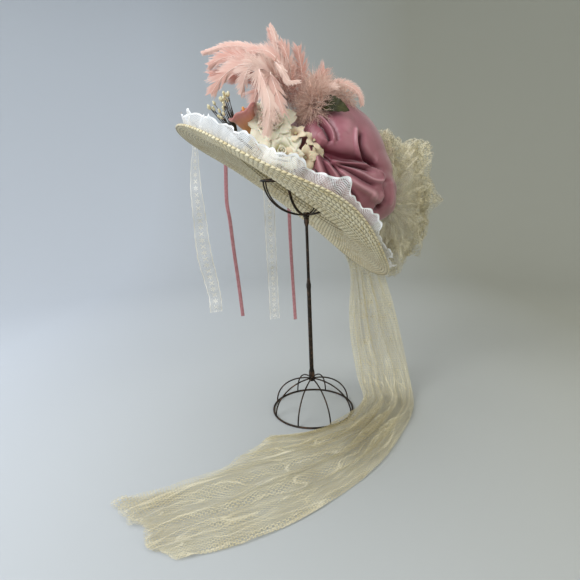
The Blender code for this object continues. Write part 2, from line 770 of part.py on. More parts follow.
def train_slot(group, parent):
    """A guide: the way out of the pouf's underside for the train."""
    work = bmesh.new()
    bmesh.ops.create_cube(work, size=1.0)
    mesh = bpy.data.meshes.new("train_slot")
    work.to_mesh(mesh)
    work.free()
    size = Matrix.Diagonal((TRAIN_SLOT["long"], TRAIN_SLOT["wide"], TRAIN_SLOT["high"], 1))
    turn = Matrix.Rotation(radians(TRAIN_SLOT["heading"]), 4, "Z")
    mesh.transform(Matrix.Translation([TRAIN_SLOT[key] for key in "xyz"]) @ turn @ size)
    slot = add_mesh("train_slot", mesh, group, parent)
    make_guide(slot)
    return slot


def make_pouf(group, parent, cuts):
    """The crumpled net behind the satin: a hollow ruffled bag, open where it meets the hat."""
    rows = []
    for r in range(POUF_LAYERS + 1):
        lift = radians(POUF_POLE * (2 * r / POUF_LAYERS - 1))
        row = []
        for i in range(POUF_SIDES):
            turn = 2 * pi * i / POUF_SIDES
            ruffle = 1 + POUF_FINE * cos(POUF_RUFFLES * turn + 1.3 * sin(2 * lift)) * cos(lift)
            ruffle += POUF_BROAD * sin(3 * turn + 2.1 * lift)
            row.append(Vector((
                POUF_MIDDLE[0] + POUF_SIZE[0] * cos(lift) * cos(turn) * ruffle,
                POUF_MIDDLE[1] + POUF_SIZE[1] * sin(lift),
                POUF_MIDDLE[2] + POUF_SIZE[2] * cos(lift) * sin(turn) * ruffle,
            )))
        rows.append(row)
    pouf = add_mesh("tulle_pouf", loft("tulle_pouf", rows, wrap=True, caps=True), group, parent, "cream_net")
    thicken(pouf, NET, -1.0)
    for other in cuts:
        combine(pouf, other, "DIFFERENCE")
    settle(pouf, 60)


# Flowers and leaves


def facing(place, towards, up=Vector((0, 0, 1))):
    """A matrix at a place whose Z axis points along a direction."""
    z = Vector(towards).normalized()
    x = up.cross(z).normalized() if abs(z.dot(up)) < 0.99 else Vector((1, 0, 0))
    y = z.cross(x)
    turn = Matrix((x, y, z)).transposed().to_4x4()
    return Matrix.Translation(place) @ turn


def make_rose(name, spec, group, parent, cuts):
    """A rose as one long petal wound round itself, lobed at its lip, on a stem from the crown."""
    rows = []
    for level in ROSE_SHAPE:
        height = level["height"]
        row = []
        for i in range(ROSE_STEPS + 1):
            share = i / ROSE_STEPS
            turn = 2 * pi * ROSE_TURNS * share + radians(spec["turn"])
            lobe = cos(2.5 * turn)
            radius = spec["radius"] * (ROSE_HEART + (1 - ROSE_HEART) * share) * level["wide"]
            radius *= 1 + 0.05 * lobe * height
            top = spec["height"] * (height * (1.0 - 0.30 * share) - 0.5) + ROSE_LOBE * lobe * height
            row.append((radius * cos(turn), radius * sin(turn), top))
        rows.append(row)
    outward = Vector((spec["place"][0] * 0.5, spec["place"][1] - 0.02, 0.035)).normalized()
    strip = add_mesh("strip", loft("strip", rows), group)
    strip.data.transform(facing(spec["place"], outward))
    thicken(strip, PETAL)
    foot = Vector(spec["place"]) - outward * spec["height"] * 0.32
    stem = taper("stem", spec["root"], foot, STEM, spec["radius"] * 0.30, 8, group)
    rose = fuse(name, [strip, stem], group, parent, "ivory_petal", 60)
    for other in cuts:
        combine(rose, other, "DIFFERENCE")
    settle(rose, 60)


def envelope(name, place, radius, group, parent):
    """A guide: the ball that a flower fills."""
    work = bmesh.new()
    bmesh.ops.create_uvsphere(work, u_segments=14, v_segments=10, radius=radius)
    mesh = bpy.data.meshes.new(name)
    work.to_mesh(mesh)
    work.free()
    mesh.transform(Matrix.Translation(place))
    made = add_mesh(name, mesh, group, parent)
    make_guide(made)
    return made


def make_calla(group, parent, cuts):
    """The trumpet flower: a flared tube with one long lip."""
    base, mouth = Vector(CALLA["base"]), Vector(CALLA["mouth"])
    length = (mouth - base).length
    rows = []
    for level in CALLA_SHAPE:
        row = []
        for i in range(CALLA_SIDES):
            turn = 2 * pi * i / CALLA_SIDES
            lip = level["share"] ** 3 * CALLA["lip"] * cos(turn)
            radius = CALLA["radius"] * level["wide"]
            row.append((radius * cos(turn), radius * sin(turn), length * level["share"] + lip))
        rows.append(row)
    mesh = loft("calla", rows, wrap=True)
    mesh.transform(facing(base, mouth - base))
    calla = add_mesh("calla", mesh, group, parent, "pink_petal")
    thicken(calla, PETAL, -1.0)
    for other in cuts:
        combine(calla, other, "DIFFERENCE")
    settle(calla, 60)
    return calla


def taper(name, start, end, wide_start, wide_end, sides, group):
    """A straight tapered stem."""
    axis = Vector(end) - Vector(start)
    work = bmesh.new()
    bmesh.ops.create_cone(
        work, cap_ends=True, segments=sides, radius1=wide_start, radius2=wide_end, depth=axis.length,
        matrix=facing(Vector(start) + axis / 2, axis),
    )
    mesh = bpy.data.meshes.new(name)
    work.to_mesh(mesh)
    work.free()
    return add_mesh(name, mesh, group)


def ball(name, place, radius, group, sides=10, stretch=1.0):
    """A small round solid, stretched along its Z."""
    work = bmesh.new()
    bmesh.ops.create_uvsphere(work, u_segments=sides, v_segments=max(4, sides * 2 // 3), radius=radius)
    mesh = bpy.data.meshes.new(name)
    work.to_mesh(mesh)
    work.free()
    mesh.transform(Matrix.Translation(place) @ Matrix.Diagonal((1, 1, stretch, 1)))
    return add_mesh(name, mesh, group)


def make_blossoms(group, parent, cuts):
    """Small five-petalled blossoms on short stems from one heart."""
    pieces = [ball("heart", BLOSSOM_HEART, BLOSSOM_HEART_RADIUS, group)]
    for flower in BLOSSOMS:
        place = Vector((flower["x"], flower["y"], flower["z"]))
        out = place - Vector(BLOSSOM_HEART) + Vector((-0.004, -0.010, 0))
        pieces.append(taper("stem", BLOSSOM_HEART, place, BLOSSOM_STEM, BLOSSOM_STEM, 6, group))
        rows = []
        for level in BLOSSOM_SHAPE:
            row = []
            for i in range(BLOSSOM_SIDES):
                turn = 2 * pi * i / BLOSSOM_SIDES
                lobe = 1 + 0.14 * cos(BLOSSOM_LOBES * turn) * level["wide"]
                radius = flower["radius"] * level["wide"] * lobe
                row.append((radius * cos(turn), radius * sin(turn), level["height"]))
            rows.append(row)
        mesh = loft("blossom", rows, wrap=True, caps=True)
        mesh.transform(facing(place, out))
        pieces.append(add_mesh("blossom", mesh, group))
    blossoms = fuse("blossoms", pieces, group, parent, "ivory_petal", 50)
    for other in cuts:
        combine(blossoms, other, "DIFFERENCE")
    settle(blossoms, 50)


def make_stamens(group, parent, cuts):
    """A bunch of stems with long tips, from one root."""
    root = Vector(STAMEN_ROOT)
    pieces = [ball("root", STAMEN_ROOT, STAMEN["root"], group, 8)]
    pieces.append(taper("foot", STAMEN_FOOT, STAMEN_ROOT, STEM, STEM, 6, group))
    for tip in STAMENS:
        end = Vector((tip["x"], tip["y"], tip["z"]))
        pieces.append(taper("stem", STAMEN_ROOT, end, STAMEN["low"], STAMEN["high"], 4, group))
        bead = ball("tip", (0, 0, 0), STAMEN["tip"], group, 5, STAMEN["tip_stretch"])
        bead.data.transform(facing(end, end - root))
        pieces.append(bead)
    stamens = fuse("stamens", pieces, group, parent, "ivory_petal", 50)
    for other in cuts:
        combine(stamens, other, "DIFFERENCE")
    settle(stamens, 50)


def make_berry(group, parent, cuts):
    """The pink berry."""
    berry = ball("berry", BERRY["place"], BERRY["radius"], group)
    berry.parent = parent
    berry.data.materials.append(material("pink_petal"))
    for other in cuts:
        combine(berry, other, "DIFFERENCE")
    settle(berry, 50)
    return berry


def make_leaf(name, spec, group, parent, cuts):
    """A pointed leaf, folded a little along its rib."""
    root, tip = Vector(spec["root"]), Vector(spec["tip"])
    length = (tip - root).length
    rows = []
    for level in LEAF_SHAPE:
        bend = LEAF_BEND * length * sin(pi * level["share"])
        half = spec["width"] / 2 * level["wide"]
        up = length * level["share"]
        rows.append([(-half, LEAF_FOLD * half + bend, up), (0, bend, up), (half, LEAF_FOLD * half + bend, up)])
    mesh = loft(name, rows)
    mesh.transform(facing(root, tip - root, Vector((0, -1, 0.2))))
    leaf = add_mesh(name, mesh, group, parent, "green_leaf")
    thicken(leaf, LEAF)
    for other in cuts:
        combine(leaf, other, "DIFFERENCE")
    settle(leaf, 50)
    return leaf


# Feathers


def make_lock(lock, group):
    """One lock: a flat tapered spindle along a bent line."""
    start, bend, tip = Vector(PLUME_HEAD), Vector(lock["bend"]), Vector(lock["tip"])
    rows = []
    for r in range(LOCK_STEPS + 1):
        t = r / LOCK_STEPS
        middle = start * (1 - t) ** 2 + bend * 2 * t * (1 - t) + tip * t * t
        along = ((bend - start) * (1 - t) + (tip - bend) * t).normalized()
        flat = along.cross(Vector((0, 1, 0))).normalized()
        deep = along.cross(flat)
        half = lock["width"] / 2 * (0.12 + 0.88 * sin(pi * min(1.0, 0.18 + 0.80 * t)) ** 0.8)
        row = []
        for i in range(LOCK_SIDES):
            turn = 2 * pi * i / LOCK_SIDES
            row.append(middle + flat * half * cos(turn) + deep * (0.0015 + 0.35 * half) * sin(turn))
        rows.append(row)
    return add_mesh("lock", loft("lock", rows, wrap=True, caps=True), group)


def make_plume(group, parent, cuts):
    """All the locks, fused to one head that sits on the crown."""
    pieces = [ball("head", PLUME_HEAD, PLUME_HEAD_RADIUS, group)]
    for lock in LOCKS:
        pieces.append(make_lock(lock, group))
    plume = fuse("feather_plume", pieces, group, parent, "pink_feather", 60)
    for other in cuts:
        combine(plume, other, "DIFFERENCE")
    settle(plume, 60)


# Streamers


def rim_behind(x):
    """The rim's far side at a given x of the layout."""
    low, high = radians(20), radians(175)
    for _ in range(40):
        middle = (low + high) / 2
        point = hat_matrix() @ brim_point(middle, 1.0)
        low, high = (middle, high) if point.x > x else (low, middle)
    return point


def make_tie(name, spec, finish, group, parent, cuts):
    """A flat streamer hanging from the back of the rim, its edges scalloped if it is lace."""
    steps = max(8, spec["scallops"] * 2)
    edge = rim_behind(spec["route"][0]["x"])
    back = edge.y + STREAMER / 2 + TIE_EASE
    rows = []
    for i in range(steps + 1):
        share = i / steps
        x, z, width = (between(spec["route"], share, key) for key in ("x", "z", "width"))
        half = width / 2
        if spec["scallops"]:
            half *= 1 - TIE_SCALLOP * (i % 2)
        turn = TIE_TURN * sin(2.5 * share)
        sway = TIE_SWAY * share * sin(3 * share)
        z = edge.z + TIE_LAP if i == 0 else z
        rows.append([
            (x - half * cos(turn), back - half * sin(turn) + sway, z),
            (x + half * cos(turn), back + half * sin(turn) + sway, z),
        ])
    tie = add_mesh(name, loft(name, rows), group, parent, finish)
    thicken(tie, STREAMER)
    for other in cuts:
        combine(tie, other, "DIFFERENCE")
    settle(tie, 50)


def clear_scene():
    for obj in list(bpy.data.objects):
        remove(obj)


def main():
    clear_scene()
    parts = collection("wide_brim_hat_on_stand")
    guides = collection("guides")
    layout = bpy.data.objects.new("layout", None)
    layout.location = (STAND_X, STAND_Y, 0)
    parts.objects.link(layout)
    hat = bpy.data.objects.new("hat_seat", None)
    hat.parent = layout
    hat.matrix_local = hat_matrix()
    parts.objects.link(hat)

    make_bell("stand_base", parts, layout, 0.0, False)
    make_stem(parts, layout)
    make_bell("stand_top", parts, layout, TOP_RING_HEIGHT, True)

    make_crown(parts, hat)
    brim = make_brim(parts, hat)
    seat = make_seat(guides, hat)
    lace = make_brim_lace(parts, hat)
    puff_guide = make_satin_puff(parts, hat, guides, seat)
    train = make_train(parts, layout)
    brim_close = grown("brim_close", brim, 0.0005, guides)
    lace_close = grown("lace_close", lace, 0.0005, guides)
    for other in (brim_close, puff_guide, lace_close):
        combine(train, other, "DIFFERENCE")
    settle(train, 60)
    slot = train_slot(guides, layout)
    make_pouf(parts, layout, (puff_guide, seat, slot, lace_close))

    seats = (seat, puff_guide)
    balls = {}
    for name, spec in ROSES.items():
        make_rose(name, spec, parts, hat, (*seats, *balls.values()))
        reach = hypot(spec["radius"], spec["height"] / 2) * 1.05
        balls[name] = envelope(name + "_guide", spec["place"], reach, guides, hat)
    calla = make_calla(parts, hat, (*seats, *balls.values()))
    calla_close = grown("calla_close", calla, 0.0006, guides)
    berry = make_berry(parts, hat, seats)
    berry_close = grown("berry_close", berry, 0.0006, guides)
    make_blossoms(parts, hat, (*seats, *balls.values(), berry_close))
    make_stamens(parts, hat, (*seats, *balls.values(), calla_close))
    leaves = []
    for name, spec in LEAVES.items():
        leaf = make_leaf(name, spec, parts, hat, (*seats, *balls.values()))
        leaves.append(grown(name + "_close", leaf, 0.0006, guides))
    make_plume(parts, hat, (*seats, *balls.values(), calla_close, berry_close, *leaves))

    for name, spec in TIES.items():
        finish = "white_lace" if "lace" in name else "mauve_satin"
        make_tie(name, spec, finish, parts, layout, (brim_close, lace_close))


main()
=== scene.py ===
from math import cos, hypot, pi, radians, sin

import bmesh
import bpy
import numpy as np
from mathutils import Matrix, Vector


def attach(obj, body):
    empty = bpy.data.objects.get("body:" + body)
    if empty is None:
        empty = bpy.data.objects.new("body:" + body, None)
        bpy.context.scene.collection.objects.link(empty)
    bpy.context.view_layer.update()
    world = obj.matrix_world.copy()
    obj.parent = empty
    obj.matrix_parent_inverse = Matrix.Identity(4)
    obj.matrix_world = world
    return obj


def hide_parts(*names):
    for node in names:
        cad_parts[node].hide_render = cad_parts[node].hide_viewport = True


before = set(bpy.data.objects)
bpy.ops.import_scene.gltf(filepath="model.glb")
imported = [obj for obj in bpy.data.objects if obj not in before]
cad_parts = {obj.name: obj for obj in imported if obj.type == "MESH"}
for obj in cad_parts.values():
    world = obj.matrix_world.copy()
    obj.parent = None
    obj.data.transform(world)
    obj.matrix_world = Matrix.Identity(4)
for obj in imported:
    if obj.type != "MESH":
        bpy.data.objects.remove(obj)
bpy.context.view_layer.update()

stand = {
    "x": 0.0238, "y": 0.0578, "ring": 0.064, "ringWire": 0.0015, "ribWire": 0.00115,
    "ribs": 8, "ribOffset": 0.47, "bell": 0.053, "topRing": 0.366,
    "hub": 0.0046, "hubLength": 0.0075, "hubEdge": 0.0007,
}
hat = {
    "place": (-0.0288, 0.0, 0.3332), "tilt": 37.3, "lean": 6.6, "turn": -2.3,
    "straw": 0.0022, "headLength": 0.190, "headWidth": 0.164, "headRise": 0.0155,
    "brimLength": 0.3606, "brimWidth": 0.3414, "crownTop": 0.0856,
    "opening": {"reach": 0.0970, "rise": 0.0165},
    "rimBends": (
        {"turns": 2, "cos": -0.0068, "sin": -0.0024},
        {"turns": 3, "cos": 0.0009, "sin": -0.0029},
    ),
    "rimLift": {"angle": 290, "height": 0.022, "width": 26},
}
layoutMatrix = Matrix.Translation((stand["x"], stand["y"], 0))
hatMatrix = layoutMatrix @ Matrix.Translation(hat["place"])
hatMatrix = hatMatrix @ Matrix.Rotation(radians(hat["turn"]), 4, "Z")
hatMatrix = hatMatrix @ Matrix.Rotation(radians(hat["tilt"]), 4, "Y")
hatMatrix = hatMatrix @ Matrix.Rotation(-radians(hat["lean"]), 4, "X")


# Small tools

def deselectAll():
    bpy.ops.object.select_all(action="DESELECT")


def placed(points, matrix):
    # the points, an array of any shape that ends in 3, moved by a matrix
    turn = np.array(matrix.to_3x3())
    return points @ turn.T + np.array(matrix.translation)


def unit(vectors):
    return vectors / np.linalg.norm(vectors, axis=-1, keepdims=True)


def runLength(path):
    # how far along a path each of its points lies
    return np.concatenate([[0], np.cumsum(np.linalg.norm(np.diff(path, axis=0), axis=1))])


def table(columns, *rows):
    # rows of values under named columns
    return [dict(zip(columns.split(), row)) for row in rows]


def sheetUv(rows, columns):
    # u across and v along a sheet, each from 0 to 1
    return np.meshgrid(np.linspace(0, 1, columns), np.linspace(0, 1, rows))


def roundSteps(count):
    # even steps once round, in radians
    return np.arange(count) * 2 * pi / count


def gridNormals(points, wrapRows=False, wrapColumns=False):
    def slope(axis, wrap):
        if wrap:
            return np.roll(points, -1, axis) - np.roll(points, 1, axis)
        return np.gradient(points, axis=axis)
    found = np.cross(slope(0, wrapRows), slope(1, wrapColumns))
    return found / np.maximum(np.linalg.norm(found, axis=-1, keepdims=True), 1e-12)


def meshPiece(name, points, faces, loopUv=None):
    mesh = bpy.data.meshes.new(name)
    mesh.from_pydata(points.reshape(-1, 3).tolist(), [], faces.reshape(-1, faces.shape[-1]).tolist())
    if loopUv is not None:
        layer = mesh.uv_layers.new(name="weave")
        layer.uv.foreach_set("vector", loopUv.astype(np.float32).ravel())
    mesh.shade_smooth()
    made = bpy.data.objects.new(name, mesh)
    bpy.context.scene.collection.objects.link(made)
    return made


def gridPiece(name, points, wrapRows=False, wrapColumns=False, u=None, v=None, loopUv=None):
    # a sheet or a closed tube through a grid of points
    # u and v hold a value for each corner, past the seam too
    rows, columns = points.shape[:2]
    r = np.arange(rows if wrapRows else rows - 1)[:, None]
    c = np.arange(columns if wrapColumns else columns - 1)[None, :]
    nextR, nextC = (r + 1) % rows, (c + 1) % columns
    faces = np.stack([r * columns + c, r * columns + nextC, nextR * columns + nextC, nextR * columns + c], -1)
    if u is not None:
        both = np.stack([u, v], -1)
        loopUv = np.stack([both[r, c], both[r, c + 1], both[r + 1, c + 1], both[r + 1, c]], -2)
    return meshPiece(name, points, faces, loopUv)


def stripPiece(name, lines, halves, tone):
    # many thin strips at once: lines is strips x points x 3, halves are half-width vectors
    # and tone is one value a strip
    count, steps = lines.shape[:2]
    points = np.stack([lines - halves, lines + halves], 2)
    base = np.arange(count)[:, None] * steps * 2 + np.arange(steps - 1)[None, :] * 2
    faces = np.stack([base, base + 1, base + 3, base + 2], -1)
    along = np.linspace(0, 1, steps)
    low = np.broadcast_to(along[:-1], base.shape)
    high = np.broadcast_to(along[1:], base.shape)
    shade = np.broadcast_to(np.asarray(tone)[:, None], base.shape)
    loopUv = np.stack([np.stack([shade, x], -1) for x in (low, low, high, high)], -2)
    return meshPiece(name, points, faces, loopUv)


def tubeGrid(path, radius, sides, closed=False):
    # the points round a wire along a path, with a frame that doesn't twist
    path = np.asarray(path, float)
    if closed:
        along = np.roll(path, -1, 0) - np.roll(path, 1, 0)
    else:
        along = np.gradient(path, axis=0)
    along = unit(along)
    # any direction that no wire here runs in
    side = np.cross(along[0], (0.31, 0.52, 0.79))
    frames = []
    for t in along:
        side = side - t * np.dot(side, t)
        side = unit(side)
        frames.append((side, np.cross(t, side)))
    turns = roundSteps(sides)
    radius = np.broadcast_to(np.asarray(radius, float), (len(path),))
    rings = [
        p + r * (np.cos(turns)[:, None] * a + np.sin(turns)[:, None] * b)
        for p, r, (a, b) in zip(path, radius, frames)
    ]
    return np.array(rings)


def tubePiece(name, path, radius, sides=8, closed=False):
    rings = tubeGrid(path, radius, sides, closed)
    if closed:
        return gridPiece(name, rings, True, True)
    return closedTube(name, path, rings)


def closedTube(name, path, rings):
    # rings along a path, with both ends drawn in to a point
    shape = (1, rings.shape[1], 3)
    rings = np.concatenate([np.broadcast_to(path[0], shape), rings, np.broadcast_to(path[-1], shape)])
    made = gridPiece(name, rings, False, True)
    mergeDoubles(made)
    return made


def mergeDoubles(obj, distance=1e-6):
    work = bmesh.new()
    work.from_mesh(obj.data)
    bmesh.ops.remove_doubles(work, verts=work.verts, dist=distance)
    bmesh.ops.dissolve_degenerate(work, edges=work.edges, dist=distance)
    bmesh.ops.recalc_face_normals(work, faces=work.faces)
    work.to_mesh(obj.data)
    work.free()


def joinPieces(name, pieces):
    deselectAll()
    for piece in pieces:
        piece.select_set(True)
    bpy.context.view_layer.objects.active = pieces[0]
    if len(pieces) > 1:
        bpy.ops.object.join()
    pieces[0].name = pieces[0].data.name = name
    return pieces[0]


def applyModifier(obj, kind, **values):
    deselectAll()
    obj.select_set(True)
    bpy.context.view_layer.objects.active = obj
    step = obj.modifiers.new(kind.lower(), kind)
    for key, value in values.items():
        setattr(step, key, value)
    bpy.ops.object.modifier_apply(modifier=step.name)


def finishPiece(obj, finish, slotName, *nodes):
    obj.data.materials.clear()
    obj.data.materials.append(finish)
    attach(obj, "root")
    if nodes:
        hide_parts(*nodes)
    return obj


def smoothStep(x, low, high):
    t = np.clip((x - low) / (high - low), 0, 1)
    return t * t * (3 - 2 * t)


def between(rows, share, key):
    # a smooth value through a table's rows, share from 0 to 1
    values = np.array([row[key] for row in rows], float)
    spot = np.clip(np.asarray(share, float), 0, 1) * (len(rows) - 1)
    i = np.minimum(spot.astype(int), len(rows) - 2)
    t = spot - i
    p0, p1, p2, p3 = (values[np.clip(i + k, 0, len(rows) - 1)] for k in (-1, 0, 1, 2))
    square, cube = 2 * p0 - 5 * p1 + 4 * p2 - p3, 3 * p1 - p0 - 3 * p2 + p3
    return 0.5 * (2 * p1 + (p2 - p0) * t + square * t**2 + cube * t**3)


def softNoise(x, y, seed, octaves=3):
    # smooth wrinkles without a texture: a few crossed waves with seeded directions
    draw = np.random.default_rng(seed)
    total, size = 0.0, 1.0
    for k in range(octaves):
        for _ in range(3):
            turn, phase = draw.uniform(0, 2 * pi), draw.uniform(0, 2 * pi)
            speed = draw.uniform(0.7, 1.3) * 2**k
            total = total + size * np.sin(speed * (x * cos(turn) + y * sin(turn)) + phase)
        size *= 0.5
    return total / 3


# Materials

def paint(red, green, blue):
    # a colour as it shows on screen, 0 to 255, as the shader wants it
    def straight(c):
        c /= 255
        return c / 12.92 if c <= 0.04045 else ((c + 0.055) / 1.055) ** 2.4
    return (straight(red), straight(green), straight(blue), 1.0)


def addNode(tree, kind, **inputs):
    made = tree.nodes.new(kind)
    for name, value in inputs.items():
        socket = made.inputs[name.replace("_", " ")]
        if isinstance(value, bpy.types.NodeSocket):
            tree.links.new(value, socket)
        else:
            socket.default_value = value
    return made


def calc(tree, operation, *values):
    made = tree.nodes.new("ShaderNodeMath")
    made.operation = operation
    for i, value in enumerate(values):
        if isinstance(value, bpy.types.NodeSocket):
            tree.links.new(value, made.inputs[i])
        else:
            made.inputs[i].default_value = value
    return made.outputs[0]


def times(tree, *values):
    return calc(tree, "MULTIPLY", *values)


def plus(tree, *values):
    return calc(tree, "ADD", *values)


def minus(tree, *values):
    return calc(tree, "SUBTRACT", *values)


def larger(tree, *values):
    return calc(tree, "MAXIMUM", *values)


def absolute(tree, value):
    return calc(tree, "ABSOLUTE", value)


def ranged(tree, value, low, high, start=0.0, end=1.0):
    # a value between low and high, as a value between start and end
    made = addNode(tree, "ShaderNodeMapRange", Value=value, From_Min=low, From_Max=high,
                   To_Min=start, To_Max=end)
    return made.outputs["Result"]


def cloudy(tree, where, scale, detail=2.0):
    made = addNode(tree, "ShaderNodeTexNoise", Vector=where, Scale=scale, Detail=detail)
    return made.outputs["Fac"]


def axesOf(tree, vector):
    return addNode(tree, "ShaderNodeSeparateXYZ", Vector=vector).outputs


def feed(tree, shader, **sources):
    for name, value in sources.items():
        tree.links.new(value, shader.inputs[name.replace("_", " ")])


def mixColour(tree, share, first, second):
    made = tree.nodes.new("ShaderNodeMix")
    made.data_type = "RGBA"
    sockets = {s.identifier: s for s in made.inputs}
    for key, value in (("Factor_Float", share), ("A_Color", first), ("B_Color", second)):
        if isinstance(value, bpy.types.NodeSocket):
            tree.links.new(value, sockets[key])
        else:
            sockets[key].default_value = value
    return {s.identifier: s for s in made.outputs}["Result_Color"]


def newGroup(name, inputs, outputs):
    tree = bpy.data.node_groups.new(name, "ShaderNodeTree")
    for title, kind, value in inputs:
        socket = tree.interface.new_socket(name=title, in_out="INPUT", socket_type="NodeSocket" + kind)
        if value is not None:
            socket.default_value = value
    for title, kind in outputs:
        tree.interface.new_socket(name=title, in_out="OUTPUT", socket_type="NodeSocket" + kind)
    return tree, tree.nodes.new("NodeGroupInput").outputs, tree.nodes.new("NodeGroupOutput").inputs


def useGroup(tree, group, **inputs):
    made = tree.nodes.new("ShaderNodeGroup")
    made.node_tree = group
    for name, value in inputs.items():
        socket = made.inputs[name]
        if isinstance(value, bpy.types.NodeSocket):
            tree.links.new(value, socket)
        else:
            socket.default_value = value
    return made.outputs


def makeToneGroup():
    # two shades of one dye, drifting over the surface
    tree, given, put = newGroup(
        "tone",
        (("Vector", "Vector", None), ("Light", "Color", (1, 1, 1, 1)),
         ("Deep", "Color", (0.5, 0.5, 0.5, 1)), ("Scale", "Float", 40.0)),
        (("Color", "Color"), ("Mask", "Float")),
    )
    spread = ranged(tree, cloudy(tree, given["Vector"], given["Scale"], 5.0), 0.35, 0.65)
    tree.links.new(mixColour(tree, spread, given["Light"], given["Deep"]), put["Color"])
    tree.links.new(spread, put["Mask"])
    return tree


def makeNetGroup():
    # six-sided net: three crossed waves, whose low places are the threads
    tree, given, put = newGroup(
        "sixSidedNet",
        (("Vector", "Vector", None), ("Cell", "Float", 0.003), ("Thread", "Float", 0.5)),
        (("Mask", "Float"),),
    )
    parts = axesOf(tree, given["Vector"])
    cornerToSide = 1.1547
    pitch = calc(tree, "DIVIDE", 2 * pi * cornerToSide, given["Cell"])
    total = None
    for turn in (90, 210, 330):
        run = times(tree, parts["X"], cos(radians(turn)))
        rise = times(tree, parts["Y"], sin(radians(turn)))
        wave = calc(tree, "COSINE", times(tree, plus(tree, run, rise), pitch))
        total = wave if total is None else plus(tree, total, wave)
    level = minus(tree, times(tree, given["Thread"], 2.0), 1.5)
    tree.links.new(ranged(tree, minus(tree, total, level), -0.15, 0.15, 1.0, 0.0), put["Mask"])
    return tree


def makePlaitGroup():
    # sewn straw braid: u counts plaits along a row and v counts rows
    tree, given, put = newGroup(
        "strawPlait",
        (("Vector", "Vector", None), ("Slant", "Float", 0.9)),
        (("Height", "Float"), ("GrooveShade", "Float"), ("Straw", "Float")),
    )
    parts = axesOf(tree, given["Vector"])
    across = calc(tree, "FRACT", parts["Y"])
    middle = absolute(tree, minus(tree, across, 0.5))
    lean = plus(tree, parts["X"], times(tree, middle, given["Slant"]))
    strand = absolute(tree, calc(tree, "SINE", times(tree, lean, pi)))
    roundRow = calc(tree, "SINE", times(tree, across, pi))
    height = times(tree, calc(tree, "POWER", strand, 0.6), calc(tree, "POWER", roundRow, 0.5))
    column, row = calc(tree, "FLOOR", lean), calc(tree, "FLOOR", parts["Y"])
    which = addNode(tree, "ShaderNodeCombineXYZ", X=column, Y=row)
    straw = addNode(tree, "ShaderNodeTexWhiteNoise", Vector=which.outputs["Vector"])
    tree.links.new(height, put["Height"])
    # the low places of the plait, where the straw material paints shade
    tree.links.new(ranged(tree, height, 0.15, 0.6, 1.0, 0.0), put["GrooveShade"])
    tree.links.new(straw.outputs["Value"], put["Straw"])
    return tree


def makeMotifGroup():
    # a lace repeat along u: petals round an eye, then a crossed bar; v runs 0 to 1 across
    tree, given, put = newGroup(
        "laceMotif",
        (("Vector", "Vector", None), ("Repeat", "Float", 0.012), ("Width", "Float", 0.02)),
        (("Mask", "Float"), ("Edge", "Float")),
    )
    parts, repeat = axesOf(tree, given["Vector"]), given["Repeat"]
    spot = calc(tree, "DIVIDE", parts["X"], repeat)
    odd = calc(tree, "MODULO", calc(tree, "FLOOR", spot), 2.0)
    x = times(tree, minus(tree, calc(tree, "FRACT", spot), 0.5), repeat)
    y = times(tree, minus(tree, parts["Y"], 0.5), given["Width"])
    out = calc(tree, "SQRT", plus(tree, times(tree, x, x), times(tree, y, y)))
    angle = calc(tree, "ARCTAN2", y, x)
    petal = plus(tree, 0.62, times(tree, calc(tree, "COSINE", times(tree, angle, 6.0)), 0.34))
    reach = times(tree, times(tree, petal, repeat), 0.44)
    pastEye = calc(tree, "GREATER_THAN", out, times(tree, repeat, 0.07))
    flower = times(tree, calc(tree, "LESS_THAN", out, reach), pastEye)
    bars = absolute(tree, minus(tree, absolute(tree, x), absolute(tree, y)))
    onBar = calc(tree, "LESS_THAN", bars, times(tree, repeat, 0.10))
    cross = times(tree, onBar, calc(tree, "LESS_THAN", out, times(tree, repeat, 0.42)))
    shape = plus(tree, times(tree, flower, minus(tree, 1.0, odd)), times(tree, cross, odd))
    edge = calc(tree, "GREATER_THAN", absolute(tree, minus(tree, parts["Y"], 0.5)), 0.43)
    tree.links.new(calc(tree, "MINIMUM", shape, 1.0), put["Mask"])
    tree.links.new(edge, put["Edge"])
    return tree


groups = {
    "tone": makeToneGroup(), "net": makeNetGroup(),
    "plait": makePlaitGroup(), "motif": makeMotifGroup(),
}


def newMaterial(name, roughness=0.6, **fixed):
    made = bpy.data.materials.new(name)
    made.use_nodes = True
    tree = made.node_tree
    shader = tree.nodes["Principled BSDF"]
    shader.inputs["Roughness"].default_value = roughness
    for key, value in fixed.items():
        shader.inputs[key.replace("_", " ")].default_value = value
    return made, tree, shader


def bumpInto(tree, shader, height, strength, distance):
    bump = addNode(tree, "ShaderNodeBump", Height=height, Strength=strength, Distance=distance)
    feed(tree, shader, Normal=bump.outputs["Normal"])


def readUv(tree):
    made = tree.nodes.new("ShaderNodeUVMap")
    made.uv_map = "weave"
    return made.outputs["UV"]


def readObject(tree):
    return tree.nodes.new("ShaderNodeTexCoord").outputs["Object"]


def dyed(tree, light, deep, scale):
    # the two shades of one dye and where the deep one lies
    return useGroup(tree, groups["tone"], Vector=readObject(tree), Light=light, Deep=deep, Scale=scale)


def strawFinish():
    made, tree, shader = newMaterial("strawBraid", 0.62, Sheen_Weight=0.15, Specular_IOR_Level=0.35)
    plait = useGroup(tree, groups["plait"], Vector=readUv(tree))
    tone = dyed(tree, paint(218, 204, 162), paint(202, 182, 132), 24.0)
    bright = mixColour(tree, times(tree, plait["Straw"], 0.55), tone["Color"], paint(243, 238, 214))
    # painted shade: the straw is darker down in the grooves between strands and rows
    shade = mixColour(tree, times(tree, plait["GrooveShade"], 0.85), bright, paint(122, 104, 62))
    feed(tree, shader, Base_Color=shade)
    bumpInto(tree, shader, plait["Height"], 1.0, 0.0014)
    return made


